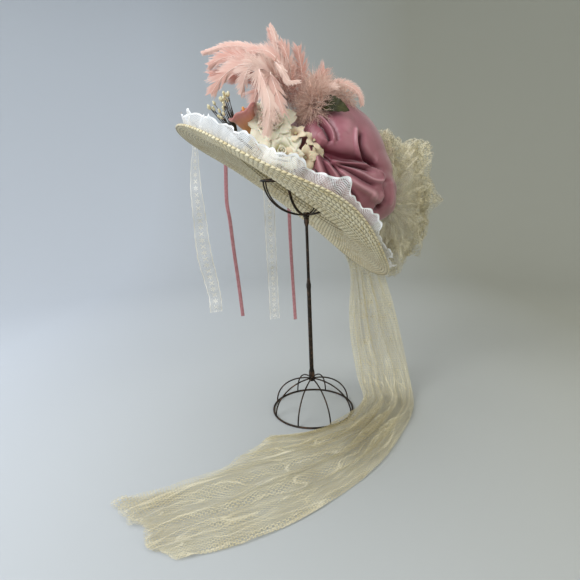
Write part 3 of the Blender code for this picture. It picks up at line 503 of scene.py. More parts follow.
def satinFinish(name, light, deep, scale=30.0, paintedFoldLight=None):
    made, tree, shader = newMaterial(name, 0.42, Sheen_Weight=0.35, Sheen_Roughness=0.4,
                                     Specular_IOR_Level=0.55)
    tone = dyed(tree, light, deep, scale)
    colour = tone["Color"]
    if paintedFoldLight:
        # painted shade and painted highlight: darker at the bottom of a fold and lighter on its crest
        depth = axesOf(tree, readUv(tree))["X"]
        colour = mixColour(tree, ranged(tree, depth, 0.54, 0.80, 0.0, 0.7), colour, paintedFoldLight["crest"])
        colour = mixColour(tree, ranged(tree, depth, 0.46, 0.12), colour, paintedFoldLight["valley"])
    rough = plus(tree, 0.38, times(tree, tone["Mask"], 0.10))
    feed(tree, shader, Base_Color=colour, Roughness=rough)
    stretch = addNode(tree, "ShaderNodeMapping", Vector=readObject(tree), Scale=(900.0, 900.0, 5200.0))
    bumpInto(tree, shader, cloudy(tree, stretch.outputs["Vector"], 1.0), 0.22, 0.0003)
    return made


def netFinish(name, light, deep, cell, thread, haze, folds):
    # open net: threads by alpha, closer along the thin lines where the net is creased
    made, tree, shader = newMaterial(name, 0.75, Sheen_Weight=0.3, Specular_IOR_Level=0.3)
    net = useGroup(tree, groups["net"], Vector=readUv(tree), Cell=cell, Thread=thread)
    tone = dyed(tree, light, deep, 16.0)
    lines = None
    for across, along in (folds, (folds[0] * 2.3, folds[1] * 1.7)):
        where = addNode(tree, "ShaderNodeMapping", Vector=readUv(tree), Scale=(across, along, 1.0),
                        Location=(across, 0, 0))
        off = absolute(tree, minus(tree, cloudy(tree, where.outputs["Vector"], 1.0, 1.0), 0.5))
        line = ranged(tree, off, 0.0, 0.020, 1.0, 0.0)
        lines = line if lines is None else larger(tree, lines, times(tree, line, 0.7))
    colour = mixColour(tree, times(tree, lines, 0.5), tone["Color"], paint(236, 230, 208))
    alpha = larger(tree, larger(tree, net["Mask"], haze), times(tree, lines, 0.62))
    feed(tree, shader, Base_Color=colour, Alpha=alpha)
    return made


def laceFinish(name, light, deep, repeat, width, ground, thread):
    made, tree, shader = newMaterial(name, 0.7, Sheen_Weight=0.3, Specular_IOR_Level=0.3)
    uv = readUv(tree)
    motif = useGroup(tree, groups["motif"], Vector=uv, Repeat=repeat, Width=width)
    flat = addNode(tree, "ShaderNodeMapping", Vector=uv, Scale=(1.0, width, 1.0))
    net = useGroup(tree, groups["net"], Vector=flat.outputs["Vector"], Cell=0.0016, Thread=thread)
    raised = larger(tree, motif["Mask"], motif["Edge"])
    alpha = larger(tree, raised, times(tree, net["Mask"], ground))
    feed(tree, shader, Base_Color=dyed(tree, light, deep, 60.0)["Color"], Alpha=alpha)
    bumpInto(tree, shader, raised, 0.5, 0.0003)
    return made


def petalFinish(name, edge, heart, vein, start, end):
    # cloth petal: v runs from the heart, 0, to the lip, 1
    made, tree, shader = newMaterial(name, 0.62, Sheen_Weight=0.4, Subsurface_Weight=0.12,
                                     Subsurface_Scale=0.002, Specular_IOR_Level=0.3)
    parts = axesOf(tree, readUv(tree))
    colour = mixColour(tree, ranged(tree, parts["Y"], start, end), heart, edge)
    stripes = absolute(tree, calc(tree, "SINE", times(tree, parts["X"], 26.0)))
    cloud = cloudy(tree, readObject(tree), 120.0, 4.0)
    faint = times(tree, times(tree, minus(tree, 1.0, stripes), 0.25), cloud)
    feed(tree, shader, Base_Color=mixColour(tree, faint, colour, vein))
    bumpInto(tree, shader, plus(tree, times(tree, stripes, 0.5), cloud), 0.25, 0.0004)
    return made


def leafFinish():
    made, tree, shader = newMaterial("leafCloth", 0.6, Specular_IOR_Level=0.3)
    parts = axesOf(tree, readUv(tree))
    middle = absolute(tree, minus(tree, parts["X"], 0.5))
    rib = ranged(tree, middle, 0.0, 0.05, 1.0, 0.0)
    branch = plus(tree, times(tree, parts["Y"], 9.0), times(tree, middle, -7.0))
    wave = absolute(tree, calc(tree, "SINE", times(tree, branch, pi)))
    lines = larger(tree, rib, ranged(tree, wave, 0.0, 0.25, 0.7, 0.0))
    tone = dyed(tree, paint(60, 60, 28), paint(32, 32, 14), 90.0)
    feed(tree, shader, Base_Color=mixColour(tree, times(tree, lines, 0.6), tone["Color"], paint(88, 86, 48)))
    bumpInto(tree, shader, lines, 0.5, 0.0006)
    return made


def featherFinish(name, root, tip, ends):
    # u is each barb's own tone and v runs along it
    made, tree, shader = newMaterial(name, 0.8, Sheen_Weight=0.5, Specular_IOR_Level=0.2)
    parts = axesOf(tree, readUv(tree))
    colour = mixColour(tree, parts["X"], root, tip)
    pale = ranged(tree, parts["Y"], 0.5, 1.0, 0.0, 0.6)
    share = times(tree, pale, cloudy(tree, readObject(tree), 70.0))
    feed(tree, shader, Base_Color=mixColour(tree, share, colour, ends))
    return made


def ironFinish():
    made, tree, shader = newMaterial("rustyIron", 0.6)
    rust = cloudy(tree, readObject(tree), 160.0, 6.0)
    spots = ranged(tree, rust, 0.50, 0.72)
    tone = dyed(tree, paint(54, 46, 38), paint(30, 26, 22), 40.0)
    feed(tree, shader, Base_Color=mixColour(tree, spots, tone["Color"], paint(92, 66, 46)),
         Roughness=plus(tree, 0.42, times(tree, spots, 0.4)),
         Metallic=minus(tree, 0.75, times(tree, spots, 0.6)))
    bumpInto(tree, shader, rust, 0.35, 0.0004)
    return made


def plainFinish(name, light, deep, roughness, scale=200.0, **fixed):
    made, tree, shader = newMaterial(name, roughness, **fixed)
    feed(tree, shader, Base_Color=dyed(tree, light, deep, scale)["Color"])
    bumpInto(tree, shader, cloudy(tree, readObject(tree), 900.0), 0.15, 0.0002)
    return made


finishes = {
    "straw": strawFinish(),
    "satin": satinFinish("mauveSatin", paint(160, 100, 110), paint(140, 80, 90), 30.0,
                         # painted highlight on the fold crests and painted shade in the fold valleys
                         {"crest": paint(196, 146, 152), "valley": paint(88, 20, 36)}),
    "ribbon": satinFinish("ribbonSatin", paint(190, 134, 138), paint(172, 112, 118), 200.0),
    "net": netFinish("creamNet", paint(218, 209, 174), paint(196, 183, 140),
                     0.0036, 0.24, 0.02, (46.0, 7.0)),
    "poufNet": netFinish("creamPouf", paint(228, 220, 190), paint(204, 192, 148),
                         0.0030, 0.20, 0.0, (34.0, 15.0)),
    "lace": laceFinish("whiteLace", paint(250, 250, 250), paint(238, 238, 236),
                       0.0150, 0.040, 1.0, 0.64),
    "tieLace": laceFinish("tieLace", paint(246, 244, 238), paint(230, 226, 214),
                          0.0105, 0.020, 0.7, 0.36),
    "rose": petalFinish("ivoryRose", paint(228, 220, 198), paint(198, 192, 122),
                        paint(204, 190, 150), 0.10, 0.65),
    "blossom": petalFinish("smallBlossom", paint(226, 208, 178), paint(176, 128, 96),
                           paint(200, 168, 130), 0.0, 0.6),
    "calla": petalFinish("pinkTrumpet", paint(200, 138, 134), paint(228, 172, 96),
                         paint(168, 102, 98), 0.50, 0.88),
    "leaf": leafFinish(),
    "feather": featherFinish("pinkFeather", paint(196, 134, 120), paint(232, 200, 186),
                             paint(246, 238, 230)),
    "fluff": featherFinish("greyPinkDown", paint(204, 164, 146), paint(230, 200, 184),
                           paint(240, 226, 214)),
    "iron": ironFinish(),
    "stem": plainFinish("stamenStem", paint(70, 62, 48), paint(44, 38, 30), 0.6),
    "anther": plainFinish("stamenTip", paint(232, 226, 196), paint(206, 194, 148), 0.55),
    "callaHeart": plainFinish("callaHeart", paint(232, 176, 96), paint(214, 140, 74), 0.6),
    "quill": plainFinish("featherQuill", paint(248, 232, 222), paint(236, 206, 196), 0.5),
    "berry": plainFinish("pinkBerry", paint(226, 170, 168), paint(206, 140, 142), 0.25, Coat_Weight=0.3),
}
print("materials made")


# Camera, floor and light

view = {"place": (-0.0052, -0.5862, 0.349), "down": 13.0, "roll": -2.6, "lens": 26.69}


def makeCamera():
    down, roll = radians(view["down"]), radians(view["roll"])
    ahead, below = Vector((0, cos(down), -sin(down))), Vector((0, -sin(down), -cos(down)))
    right = Vector((1, 0, 0)) * cos(roll) - below * sin(roll)
    under = Vector((1, 0, 0)) * sin(roll) + below * cos(roll)
    data = bpy.data.cameras.new("view")
    data.lens, data.sensor_width, data.clip_start = view["lens"], 36.0, 0.02
    seen = bpy.data.objects.new("view", data)
    bpy.context.scene.collection.objects.link(seen)
    turn = Matrix((right, -under, -ahead)).transposed().to_4x4()
    seen.matrix_world = Matrix.Translation(view["place"]) @ turn
    bpy.context.scene.camera = seen


room = {
    "floorEnd": 1.15, "wallStart": 2.1, "wallFoot": 1.05, "wallTop": 2.4,
    "sides": 96, "steps": 24, "wallSteps": 6,
    "floor": (196, 202, 210), "wall": (200, 206, 214), "paintedSideShade": (160, 160, 148),
    "fade": (0.36, 0.80), "aside": (-0.7, 0.7), "drift": 0.16,
}


def makeRoom():
    # a shallow bowl: flat floor, then a wall that curves up, the same from every side
    turns = roundSteps(room["sides"])
    rise = np.linspace(0, pi / 2, room["steps"])[1:]
    bend = room["wallStart"] - room["floorEnd"]
    reach = np.concatenate([np.linspace(0.02, room["floorEnd"], room["steps"]),
                            room["floorEnd"] + bend * np.sin(rise),
                            np.full(room["wallSteps"], room["wallStart"])])
    height = np.concatenate([np.zeros(room["steps"]), bend * (1 - np.cos(rise)),
                             np.linspace(room["wallFoot"], room["wallTop"], room["wallSteps"])])
    rings = np.stack([reach[:, None] * np.cos(turns), reach[:, None] * np.sin(turns),
                      np.broadcast_to(height[:, None], (len(reach), room["sides"]))], -1)
    middle = np.zeros((1, room["sides"], 3))
    bowl = gridPiece("paleRoom", np.concatenate([middle, rings]), False, True)
    mergeDoubles(bowl)
    made, tree, shader = newMaterial("paleRoom", 0.85, Specular_IOR_Level=0.15)
    where = readObject(tree)
    parts = axesOf(tree, where)
    squares = [times(tree, parts[axis], parts[axis]) for axis in "XY"]
    far = calc(tree, "SQRT", plus(tree, *squares))
    fade = addNode(tree, "ShaderNodeMapRange", Value=far, From_Min=room["fade"][0], From_Max=room["fade"][1])
    fade.interpolation_type = "SMOOTHSTEP"
    uneven = times(tree, minus(tree, cloudy(tree, where, 2.4, 3.0), 0.5), room["drift"])
    drift = plus(tree, fade.outputs["Result"], uneven)
    cool = mixColour(tree, drift, paint(*room["floor"]), paint(*room["wall"]))
    # painted shade: the floor and wall turn greyer towards +x, the side away from the window light
    colour = mixColour(tree, ranged(tree, parts["X"], *room["aside"]), cool, paint(*room["paintedSideShade"]))
    feed(tree, shader, Base_Color=colour)
    bowl.data.materials.append(made)


lamps = table(
    "name place size power tint",
    ("windowLight", (-1.25, -1.0, 1.45), 1.3, 36, (0.96, 0.98, 1.0)),
    ("fillLight", (1.3, -0.9, 0.9), 1.4, 11, (1.0, 0.98, 0.92)),
    ("topLight", (-0.2, 0.5, 1.9), 1.4, 12, (1.0, 1.0, 1.0)),
)
air = {"tint": (0.86, 0.90, 0.94, 1.0), "strength": 0.36, "lampAim": (0, 0, 0.28)}


def makeLight():
    for lamp in lamps:
        data = bpy.data.lights.new(lamp["name"], "AREA")
        data.size, data.energy, data.color = lamp["size"], lamp["power"], lamp["tint"]
        made = bpy.data.objects.new(lamp["name"], data)
        bpy.context.scene.collection.objects.link(made)
        aim = Vector(air["lampAim"]) - Vector(lamp["place"])
        turn = aim.to_track_quat("-Z", "Y").to_matrix().to_4x4()
        made.matrix_world = Matrix.Translation(lamp["place"]) @ turn
    world = bpy.context.scene.world or bpy.data.worlds.new("air")
    bpy.context.scene.world = world
    world.use_nodes = True
    sky = world.node_tree.nodes["Background"]
    sky.inputs["Color"].default_value = air["tint"]
    sky.inputs["Strength"].default_value = air["strength"]


makeCamera()
makeRoom()
makeLight()
bpy.context.scene.view_settings.view_transform = "Standard"
print("camera, room and light made")


# Straw: the brim's middle surface, in the hat's frame

def rimBend(angle):
    total = 0.0
    for bend in hat["rimBends"]:
        swing = bend["turns"] * angle
        total = total + (bend["cos"] * np.cos(swing) + bend["sin"] * np.sin(swing))
    lift = hat["rimLift"]
    away = (np.degrees(angle) - lift["angle"] + 180) % 360 - 180
    return total + lift["height"] * np.exp(-((away / lift["width"]) ** 2))


def brimPoint(angle, share, above=0.0):
    innerX, innerY = hat["headLength"] / 2 + 0.0008, hat["headWidth"] / 2 + 0.0008
    x = (innerX * (1 - share) + hat["brimLength"] / 2 * share) * np.cos(angle)
    y = (innerY * (1 - share) + hat["brimWidth"] / 2 * share) * np.sin(angle)
    height = hat["headRise"] * (1 - share) ** 2 + rimBend(angle) * share**3
    return np.stack(np.broadcast_arrays(x, y, height + above), -1)


def brimUp(angle, share):
    alongRow = brimPoint(angle + 0.01, share) - brimPoint(angle - 0.01, share)
    outward = brimPoint(angle, share + 0.01) - brimPoint(angle, share - 0.01)
    return unit(np.cross(outward, alongRow))


def brimShare(x, y):
    # where a point lies across the brim, 0 at the head opening and 1 at the rim
    angle = np.arctan2(y / (hat["brimWidth"] / 2), x / (hat["brimLength"] / 2))
    low, high = np.full(np.shape(x), -1.2), np.full(np.shape(x), 2.0)
    far = np.hypot(x, y)
    for _ in range(30):
        middle = (low + high) / 2
        spot = brimPoint(angle, middle)
        past = np.hypot(spot[..., 0], spot[..., 1]) > far
        low, high = np.where(past, low, middle), np.where(past, middle, high)
    return angle, (low + high) / 2


# half the crown's length and its height there, from the top down
crownShape = ((0.0, 0.0856), (0.0684, 0.0856), (0.0795, 0.0806),
              (0.0855, 0.0696), (0.0903, 0.0461), (0.095, 0.0145))


def insideSeat(points, wall=0.001, clear=0.0):
    # which points of the hat's frame lie in the crown, in the head opening, or within the brim or below it
    out = np.hypot(points[..., 0], points[..., 1] * hat["headLength"] / hat["headWidth"])
    heights = [row[1] for row in crownShape[::-1]]
    wide = np.interp(points[..., 2], heights, [row[0] for row in crownShape[::-1]])
    inCrown = (out < wide - wall) & (points[..., 2] < hat["crownTop"] - wall)
    angle, share = brimShare(points[..., 0], points[..., 1])
    top = brimPoint(angle, np.clip(share, 0, 1))[..., 2] + hat["straw"] / 2
    inOpening = (out < hat["opening"]["reach"]) & (points[..., 2] < hat["opening"]["rise"])
    return inCrown | inOpening | ((share < 1.0) & (points[..., 2] < top - clear))


brimStraw = {
    "rows": 20, "ridge": 0.0009, "plait": 0.0062, "angles": 480, "bead": 0.0019,
    "rowsEnd": 0.985, "beadAt": 0.992, "inset": 0.0003, "topRidge": 0.7, "roundness": 0.6,
}


def makeBrim():
    turns = roundSteps(brimStraw["angles"])
    rows, half, inset = brimStraw["rows"], hat["straw"] / 2, brimStraw["inset"]
    under = np.concatenate([[-0.0], (np.arange(rows * 4) + 0.5) / 4])
    over = (np.arange(rows * 3)[::-1] + 0.5) / 3
    lines, levels = [], []
    for v in under:
        share = v / rows * brimStraw["rowsEnd"]
        push = -half + inset - brimStraw["ridge"] * abs(sin(pi * v)) ** brimStraw["roundness"]
        base = brimPoint(turns, np.full_like(turns, share))
        lines.append(base + brimUp(turns, np.full_like(turns, share)) * push)
        levels.append(v)
    for k in range(1, 8):
        swing = -pi / 2 + pi * k / 8
        share = np.full_like(turns, brimStraw["beadAt"])
        base, up = brimPoint(turns, share), brimUp(turns, share)
        out = unit(brimPoint(turns, np.full_like(turns, 1.0)) - base)
        lines.append(base + out * brimStraw["bead"] * cos(swing) + up * brimStraw["bead"] * sin(swing))
        levels.append(rows + k / 8)
    for v in over:
        share = v / rows * brimStraw["rowsEnd"]
        ridge = brimStraw["ridge"] * brimStraw["topRidge"] * abs(sin(pi * v)) ** brimStraw["roundness"]
        push = half - inset + ridge
        base = brimPoint(turns, np.full_like(turns, share))
        lines.append(base + brimUp(turns, np.full_like(turns, share)) * push)
        levels.append(rows + 1 + (rows - v))
    points = placed(np.array(lines), hatMatrix)
    return strawPiece("strawBrim", points, levels, brimStraw["plait"], True)


def strawPiece(name, points, levels, plait, closed):
    # a plait count round each row, so that the pattern doesn't shear from one row to the next
    rows, columns = points.shape[:2]
    last = rows if closed else rows - 1
    levels = np.array(list(levels) + [levels[-1]])
    loopUv = np.zeros((last, columns, 4, 2))
    c = np.arange(columns)
    for r in range(last):
        n = (r + 1) % rows
        ring = (points[r] + points[n]) / 2
        around = np.linalg.norm(np.roll(ring, -1, 0) - ring, axis=1).sum()
        # an even count of plaits in each ring
        count = max(6, 2 * round(max(6, round(around / plait)) / 2))
        low, high = c / columns * count, (c + 1) / columns * count
        upper = levels[r + 1] if n else levels[r]
        loopUv[r, :, 0] = np.stack([low, np.full(columns, levels[r])], -1)
        loopUv[r, :, 1] = np.stack([high, np.full(columns, levels[r])], -1)
        loopUv[r, :, 2] = np.stack([high, np.full(columns, upper)], -1)
        loopUv[r, :, 3] = np.stack([low, np.full(columns, upper)], -1)
    return gridPiece(name, points, closed, True, loopUv=loopUv)


finishPiece(makeBrim(), finishes["straw"], "straw", "brim")

crownStraw = {
    "row": 0.0042, "ridge": 0.0004, "plait": 0.0062, "angles": 168,
    "inset": 0.0003, "roundness": 0.6, "smallest": 0.0002, "join": 0.00015,
}


def makeCrown():
    shape = np.array(crownShape)
    # the profile rounded, then walked at an even pace
    spots = runLength(shape)
    fine = np.linspace(0, spots[-1], 400)
    wide, high = np.interp(fine, spots, shape[:, 0]), np.interp(fine, spots, shape[:, 1])
    soft = np.ones(21) / 21
    wideSoft = np.convolve(np.pad(wide, 10, mode="reflect", reflect_type="odd"), soft, mode="valid")
    highSoft = np.convolve(np.pad(high, 10, mode="edge"), soft, mode="valid")
    rows = int(spots[-1] / crownStraw["row"])
    v = np.concatenate([[0.02], (np.arange(rows * 3) + 0.5) / 3, [rows]])
    at = v / rows * spots[-1]
    r, z = np.interp(at, fine, wideSoft), np.interp(at, fine, highSoft)
    slopeR, slopeZ = np.gradient(r, at), np.gradient(z, at)
    turns = roundSteps(crownStraw["angles"])
    flat = hat["headWidth"] / hat["headLength"]
    lines, levels = [], []
    for side, order in ((1, range(len(v))), (-1, range(len(v) - 1, -1, -1))):
        for i in order:
            ridge = crownStraw["ridge"] * abs(sin(pi * v[i])) ** crownStraw["roundness"]
            push = ridge - crownStraw["ridge"] if side > 0 else -(hat["straw"] - crownStraw["inset"]) - ridge
            size = hypot(slopeR[i], slopeZ[i])
            radius, height = r[i] - slopeZ[i] / size * push, z[i] + slopeR[i] / size * push
            radius = max(radius, crownStraw["smallest"])
            ring = (radius * np.cos(turns), radius * flat * np.sin(turns), np.full_like(turns, height))
            lines.append(np.stack(ring, -1))
            levels.append(v[i] if side > 0 else 2 * rows + 2 - v[i])
    piece = strawPiece("strawCrown", placed(np.array(lines), hatMatrix), levels, crownStraw["plait"], False)
    mergeDoubles(piece, crownStraw["join"])
    return piece


finishPiece(makeCrown(), finishes["straw"], "straw", "crown")
print("straw made")

lace = {
    "ruffles": 19, "wave": 0.0048, "columns": 1080, "rows": 14, "scallop": 0.0021, "scallops": 96,
    "thick": 0.001, "clear": 0.0004, "reach": 0.1755, "ripple": (0.0013, 0.0006), "droop": (0.0015, 0.0010),
    "lies": {"angle": 318, "share": 0.66, "width": 34},
    "levels": table("back rise sway", (0.030, 0.0012, 0.0), (0.012, 0.0026, 0.2), (0.000, 0.0160, 1.0)),
}


def makeBrimLace():
    turns = roundSteps(lace["columns"])
    lies, ripple, droops = lace["lies"], lace["ripple"], lace["droop"]
    lines = []
    for i in range(lace["rows"] + 1):
        t = i / lace["rows"]
        back, rise, sway = (float(between(lace["levels"], t, key)) for key in ("back", "rise", "sway"))
        sway = max(sway, 0.0)
        wave = lace["wave"] * sway * np.cos(lace["ruffles"] * turns + 0.5 * np.sin(3 * turns))
        wave = wave + ripple[0] * sway * np.sin(41 * turns + 2 * np.sin(5 * turns))
        wave = wave + ripple[1] * sway * np.cos(87 * turns)
        share = 1 - (max(back, 0.0) - wave) / ((hat["brimLength"] - hat["headLength"]) / 2)
        # it lies down on the straw at the near right
        away = (np.degrees(turns) - lies["angle"] + 180) % 360 - 180
        rise = rise * (1 - lies["share"] * np.exp(-((away / lies["width"]) ** 2)))
        droop = droops[0] * sway * np.cos(2 * lace["ruffles"] * turns)
        droop = droop + droops[1] * sway * np.sin(23 * turns + 1)
        edge = lace["scallop"] * t**4 * np.abs(np.sin(lace["scallops"] / 2 * turns))
        above = hat["straw"] / 2 + lace["thick"] / 2 + lace["clear"] + rise + droop + edge
        lines.append(brimPoint(turns, share, above))
    points = placed(np.array(lines), hatMatrix)
    around = np.concatenate([turns, [2 * pi]]) * lace["reach"]
    u = np.broadcast_to(around, (lace["rows"] + 1, lace["columns"] + 1))
    v = np.broadcast_to(np.linspace(0, 1, lace["rows"] + 1)[:, None], u.shape)
    return gridPiece("brimLace", points, False, True, u=u, v=v)


laceEdge = finishPiece(makeBrimLace(), finishes["lace"], "white_lace", "brim_lace")
print("lace edging made")

puff = {
    "middle": (0.018, 0.0, 0.068), "near": 0.103, "far": 0.092, "angles": 400, "lifts": 220, "pole": 89.97,
    "outline": ((-90, 0.074), (-50, 0.088), (-15, 0.108), (5, 0.117), (17, 0.110), (30, 0.099),
                (50, 0.091), (90, 0.091), (118, 0.100), (140, 0.094), (180, 0.074), (225, 0.070)),
    "folds": ((-62, 0.007, 9), (-33, 0.009, 8), (-6, 0.006, 7), (24, 0.008, 8),
              (78, 0.005, 12), (128, 0.005, 10)),
    "above": 0.0016, "knot": (-4, 66), "fine": 0.2, "slow": 1.1, "backWaves": (1.6, 1.2), "depthSpan": 16,
    "lip": {"bare": 0.0900, "end": 0.0990, "below": 0.0027, "raised": 0.0029},
}
# folds seen on the near side: height and width in millimetres, then x and z of the hat's frame along each
drapes = table(
    "name height width line",
    ("rolledEdge", 4.5, 1.9, ((-28, 100), (-19, 102), (-9, 99), (-1, 95), (5, 90), (9, 85))),
    ("rolledUnder", -7.5, 3.2, ((-23, 96), (-14, 95), (-6, 91), (0, 87), (2, 83))),
    ("rolledOut", -3.0, 3.0, ((-20, 107), (-4, 102), (6, 96), (12, 89))),
    ("pocket", 3.0, 4.5, ((-13, 83), (-4, 81), (2, 82))),
    ("shadow", -10.0, 7.5, ((-5, 70), (10, 71), (27, 77), (42, 86), (57, 94), (70, 99))),
    ("pinch", -7.0, 2.4, ((-14, 73), (-8, 68), (1, 65), (12, 64), (21, 64))),
    ("leafUpper", 4.5, 2.0, ((16, 64), (34, 73), (50, 84), (62, 91), (74, 95), (85, 95))),
    ("leafInside", -6.5, 2.6, ((26, 66), (42, 74), (53, 80), (66, 86))),
    ("leafLower", 4.5, 2.2, ((21, 64), (33, 68), (46, 72), (60, 75), (75, 78), (85, 84), (89, 92))),
    ("leafBelow", -5.5, 2.4, ((27, 64), (43, 67), (58, 69), (70, 71), (84, 75))),
    ("broad", 5.0, 4.6, ((31, 62), (47, 61), (63, 62), (78, 65), (93, 68))),
    ("valleyLong", -6.0, 1.8, ((20, 62), (34, 59), (49, 55), (62, 51), (78, 47))),
    ("ridgeLong", 4.5, 2.2, ((13, 62), (28, 57), (43, 52), (59, 47), (75, 42))),
    ("valleyLeft", -5.0, 2.0, ((4, 62), (16, 55), (30, 48), (46, 42), (62, 36))),
    ("ridgeLeft", 5.0, 3.6, ((-1, 64), (7, 56), (18, 47), (32, 38), (48, 30))),
    ("sweep", -7.0, 3.2, ((30, 120), (33, 112), (40, 103), (52, 98), (66, 96), (82, 98))),
    ("sweepLip", 4.0, 2.6, ((22, 118), (27, 109), (36, 99), (48, 93), (62, 93))),
    ("topRidge", 2.5, 8.0, ((-15, 124), (1, 121), (12, 116), (13, 104))),
    ("pit", -14.0, 5.0, ((103, 59), (109, 58))),
    ("lobeValley", -4.0, 3.0, ((90, 92), (94, 84), (102, 77), (109, 66))),
    ("lobeRidge", 3.0, 4.0, ((98, 96), (110, 86), (118, 71))),
    ("lobeFront", 3.0, 5.0, ((84, 62), (96, 66), (98, 76))),
)


def roundTable(rows, angle):
    angles = np.array([row[0] for row in rows] + [rows[0][0] + 360], float)
    values = np.array([row[1] for row in rows] + [rows[0][1]], float)
    turn = (angle - angles[0]) % 360 + angles[0]
    i = np.clip(np.searchsorted(angles, turn, side="right") - 1, 0, len(rows) - 1)
    t = (turn - angles[i]) / (angles[i + 1] - angles[i])
    t = t * t * (3 - 2 * t)
    return values[i] * (1 - t) + values[i + 1] * t


def puffReach(angle, lift, smooth=0.0):
    # how far the satin stands from the gather, for an angle and a lift in degrees
    near = np.maximum(0.0, -np.sin(np.radians(lift)))
    dip = 0.0
    for fold in puff["folds"]:
        away = (angle - fold[0] + 180) % 360 - 180
        dip = dip + fold[1] * np.exp(-((away / fold[2]) ** 2))
    spread = np.maximum(0.0, np.cos(np.radians(lift))) ** 0.9
    dip = dip * np.sin(pi * np.minimum(1.0, spread)) * (0.35 + 0.65 * near)
    return roundTable(puff["outline"], angle) * spread - dip * (1 - smooth * smoothStep(near, 0.0, 0.5))


def insidePuff(points, clear=0.0):
    off = points - np.array(puff["middle"])
    deep = np.where(off[..., 1] < 0, puff["near"], puff["far"])
    lift = np.degrees(np.arcsin(np.clip(off[..., 1] / deep, -1, 1)))
    angle = np.degrees(np.arctan2(off[..., 2], off[..., 0]))
    out = np.hypot(off[..., 0], off[..., 2])
    return (out < puffReach(angle, lift) - clear) & (np.abs(off[..., 1]) < deep)


def lineDistance(x, z, line):
    # distance to a bent line, and how far along it the nearest place is, from 0 to 1
    best, along = np.full(x.shape, 1e9), np.zeros(x.shape)
    pairs = list(zip(line[:-1], line[1:]))
    for k, (a, b) in enumerate(pairs):
        dx, dz = b[0] - a[0], b[1] - a[1]
        t = np.clip(((x - a[0]) * dx + (z - a[1]) * dz) / (dx * dx + dz * dz), 0, 1)
        far = np.hypot(x - a[0] - t * dx, z - a[1] - t * dz)
        nearer = far < best
        best, along = np.where(nearer, far, best), np.where(nearer, (k + t) / len(pairs), along)
    return best, along


def softLine(line, steps=24):
    rows = [{"x": p[0], "z": p[1]} for p in line]
    share = np.linspace(0, 1, steps)
    return list(zip(between(rows, share, "x").tolist(), between(rows, share, "z").tolist()))


def keepFaces(obj, hidden, never=None):
    # drops the faces whose corners are all hidden, or that touch a place never shown
    work = bmesh.new()
    work.from_mesh(obj.data)
    work.verts.ensure_lookup_table()
    gone = [
        face for face in work.faces if all(hidden[v.index] for v in face.verts)
        or (never is not None and any(never[v.index] for v in face.verts))
    ]
    bmesh.ops.delete(work, geom=gone, context="FACES")
    work.to_mesh(obj.data)
    work.free()


def makePuff():
    turns = np.arange(puff["angles"]) * 360 / puff["angles"]
    # closer rows towards the near pole, where the folds are seen best
    pace = np.linspace(0, 1, puff["lifts"])
    lifts = puff["pole"] * (2 * pace**1.15 - 1)
    angle, lift = np.meshgrid(turns, lifts)
    reach = puffReach(angle, lift, 0.92)
    deep = np.where(lift < 0, puff["near"], puff["far"])
    turn, middle = np.radians(angle), puff["middle"]
    points = np.stack([middle[0] + reach * np.cos(turn), middle[1] + deep * np.sin(np.radians(lift)),
                       middle[2] + reach * np.sin(turn)], -1)
    normals = -gridNormals(points, False, True)
    outwards = (normals * (points - np.array(middle))).sum(-1).mean()
    normals = normals if outwards > 0 else -normals
    x, z = points[..., 0] * 1000, points[..., 2] * 1000
    side = smoothStep(-points[..., 1], 0.0, 0.035)
    push = np.zeros(x.shape)
    for drape in drapes:
        far, along = lineDistance(x, z, softLine(drape["line"]))
        fade = np.minimum(1.0, np.minimum(along, 1 - along) / 0.12 * 0.75 + 0.25)
        # ridges are round and valleys are sharp
        power = 2 if drape["height"] > 0 else 1.25
        push = push + drape["height"] * np.exp(-((far / drape["width"]) ** power)) * fade * side
    # fine gathers that fan out from the knot, and slow waves all over
    overX, overZ = x - puff["knot"][0], z - puff["knot"][1]
    fan = np.degrees(np.arctan2(overZ, overX))
    gathers = puff["fine"] * np.sin(fan * 0.42 + 2.2 * np.sin(fan * 0.09))
    fine = gathers * np.exp(-np.hypot(overX, overZ) / 55) * side
    wave = softNoise(x / 26, z / 26 + points[..., 1] * 30, 4, 3) * puff["slow"]
    many, few = puff["backWaves"]
    back = (1 - side) * (many * np.sin(turn * 9 + lift * 0.03) + few * np.sin(turn * 4 + lift * 0.06))
    points = points + normals * ((push + fine + wave + back) * 0.001)[..., None]
    angleHat, share = brimShare(points[..., 0], points[..., 1])
    top = brimPoint(angleHat, np.clip(share, 0, 1))[..., 2] + hat["straw"] / 2 + puff["above"]
    # nothing of it comes in round the head opening
    out = np.hypot(points[..., 0], points[..., 1] * hat["headLength"] / hat["headWidth"])
    lip = puff["lip"]
    belowLip = points[..., 2] < hat["headRise"] + lip["below"]
    within = belowLip & (out < lip["bare"])
    onLip = belowLip & (out >= lip["bare"]) & (out < lip["end"])
    points[..., 2] = np.where(onLip, hat["headRise"] + lip["raised"], points[..., 2])
    buried = insideSeat(points, 0.0012, 0.004)
    low = (share > 0) & (share < 1) & (points[..., 2] < top)
    points[..., 2] = np.where(low & ~buried, top, points[..., 2])
    # u carries how deep in a fold a place lies; from it the satin's material paints shade in the valleys and
    # a highlight on the crests
    depth = np.clip(0.5 + (push + fine) / puff["depthSpan"], 0, 1)
    depth = np.concatenate([depth, depth[:, :1]], 1)
    piece = gridPiece("satinPuff", placed(points, hatMatrix), False, True, u=depth, v=0 * depth)
    keepFaces(piece, buried.ravel(), within.ravel())
    mergeDoubles(piece)
    return piece


satinPiece = finishPiece(makePuff(), finishes["satin"], "mauve_satin", "satin_puff")
print("satin made")

pouf = {
    "middle": (0.119, 0.062, 0.322), "size": (0.092, 0.082, 0.116), "ruffles": 9, "angles": 220, "lifts": 110,
    "shells": table("scale seed", (1.0, 3), (0.93, 8), (0.78, 14)),
    "crumple": 0.16, "crease": 0.09, "sharp": 0.03, "spokes": 0.20,
}


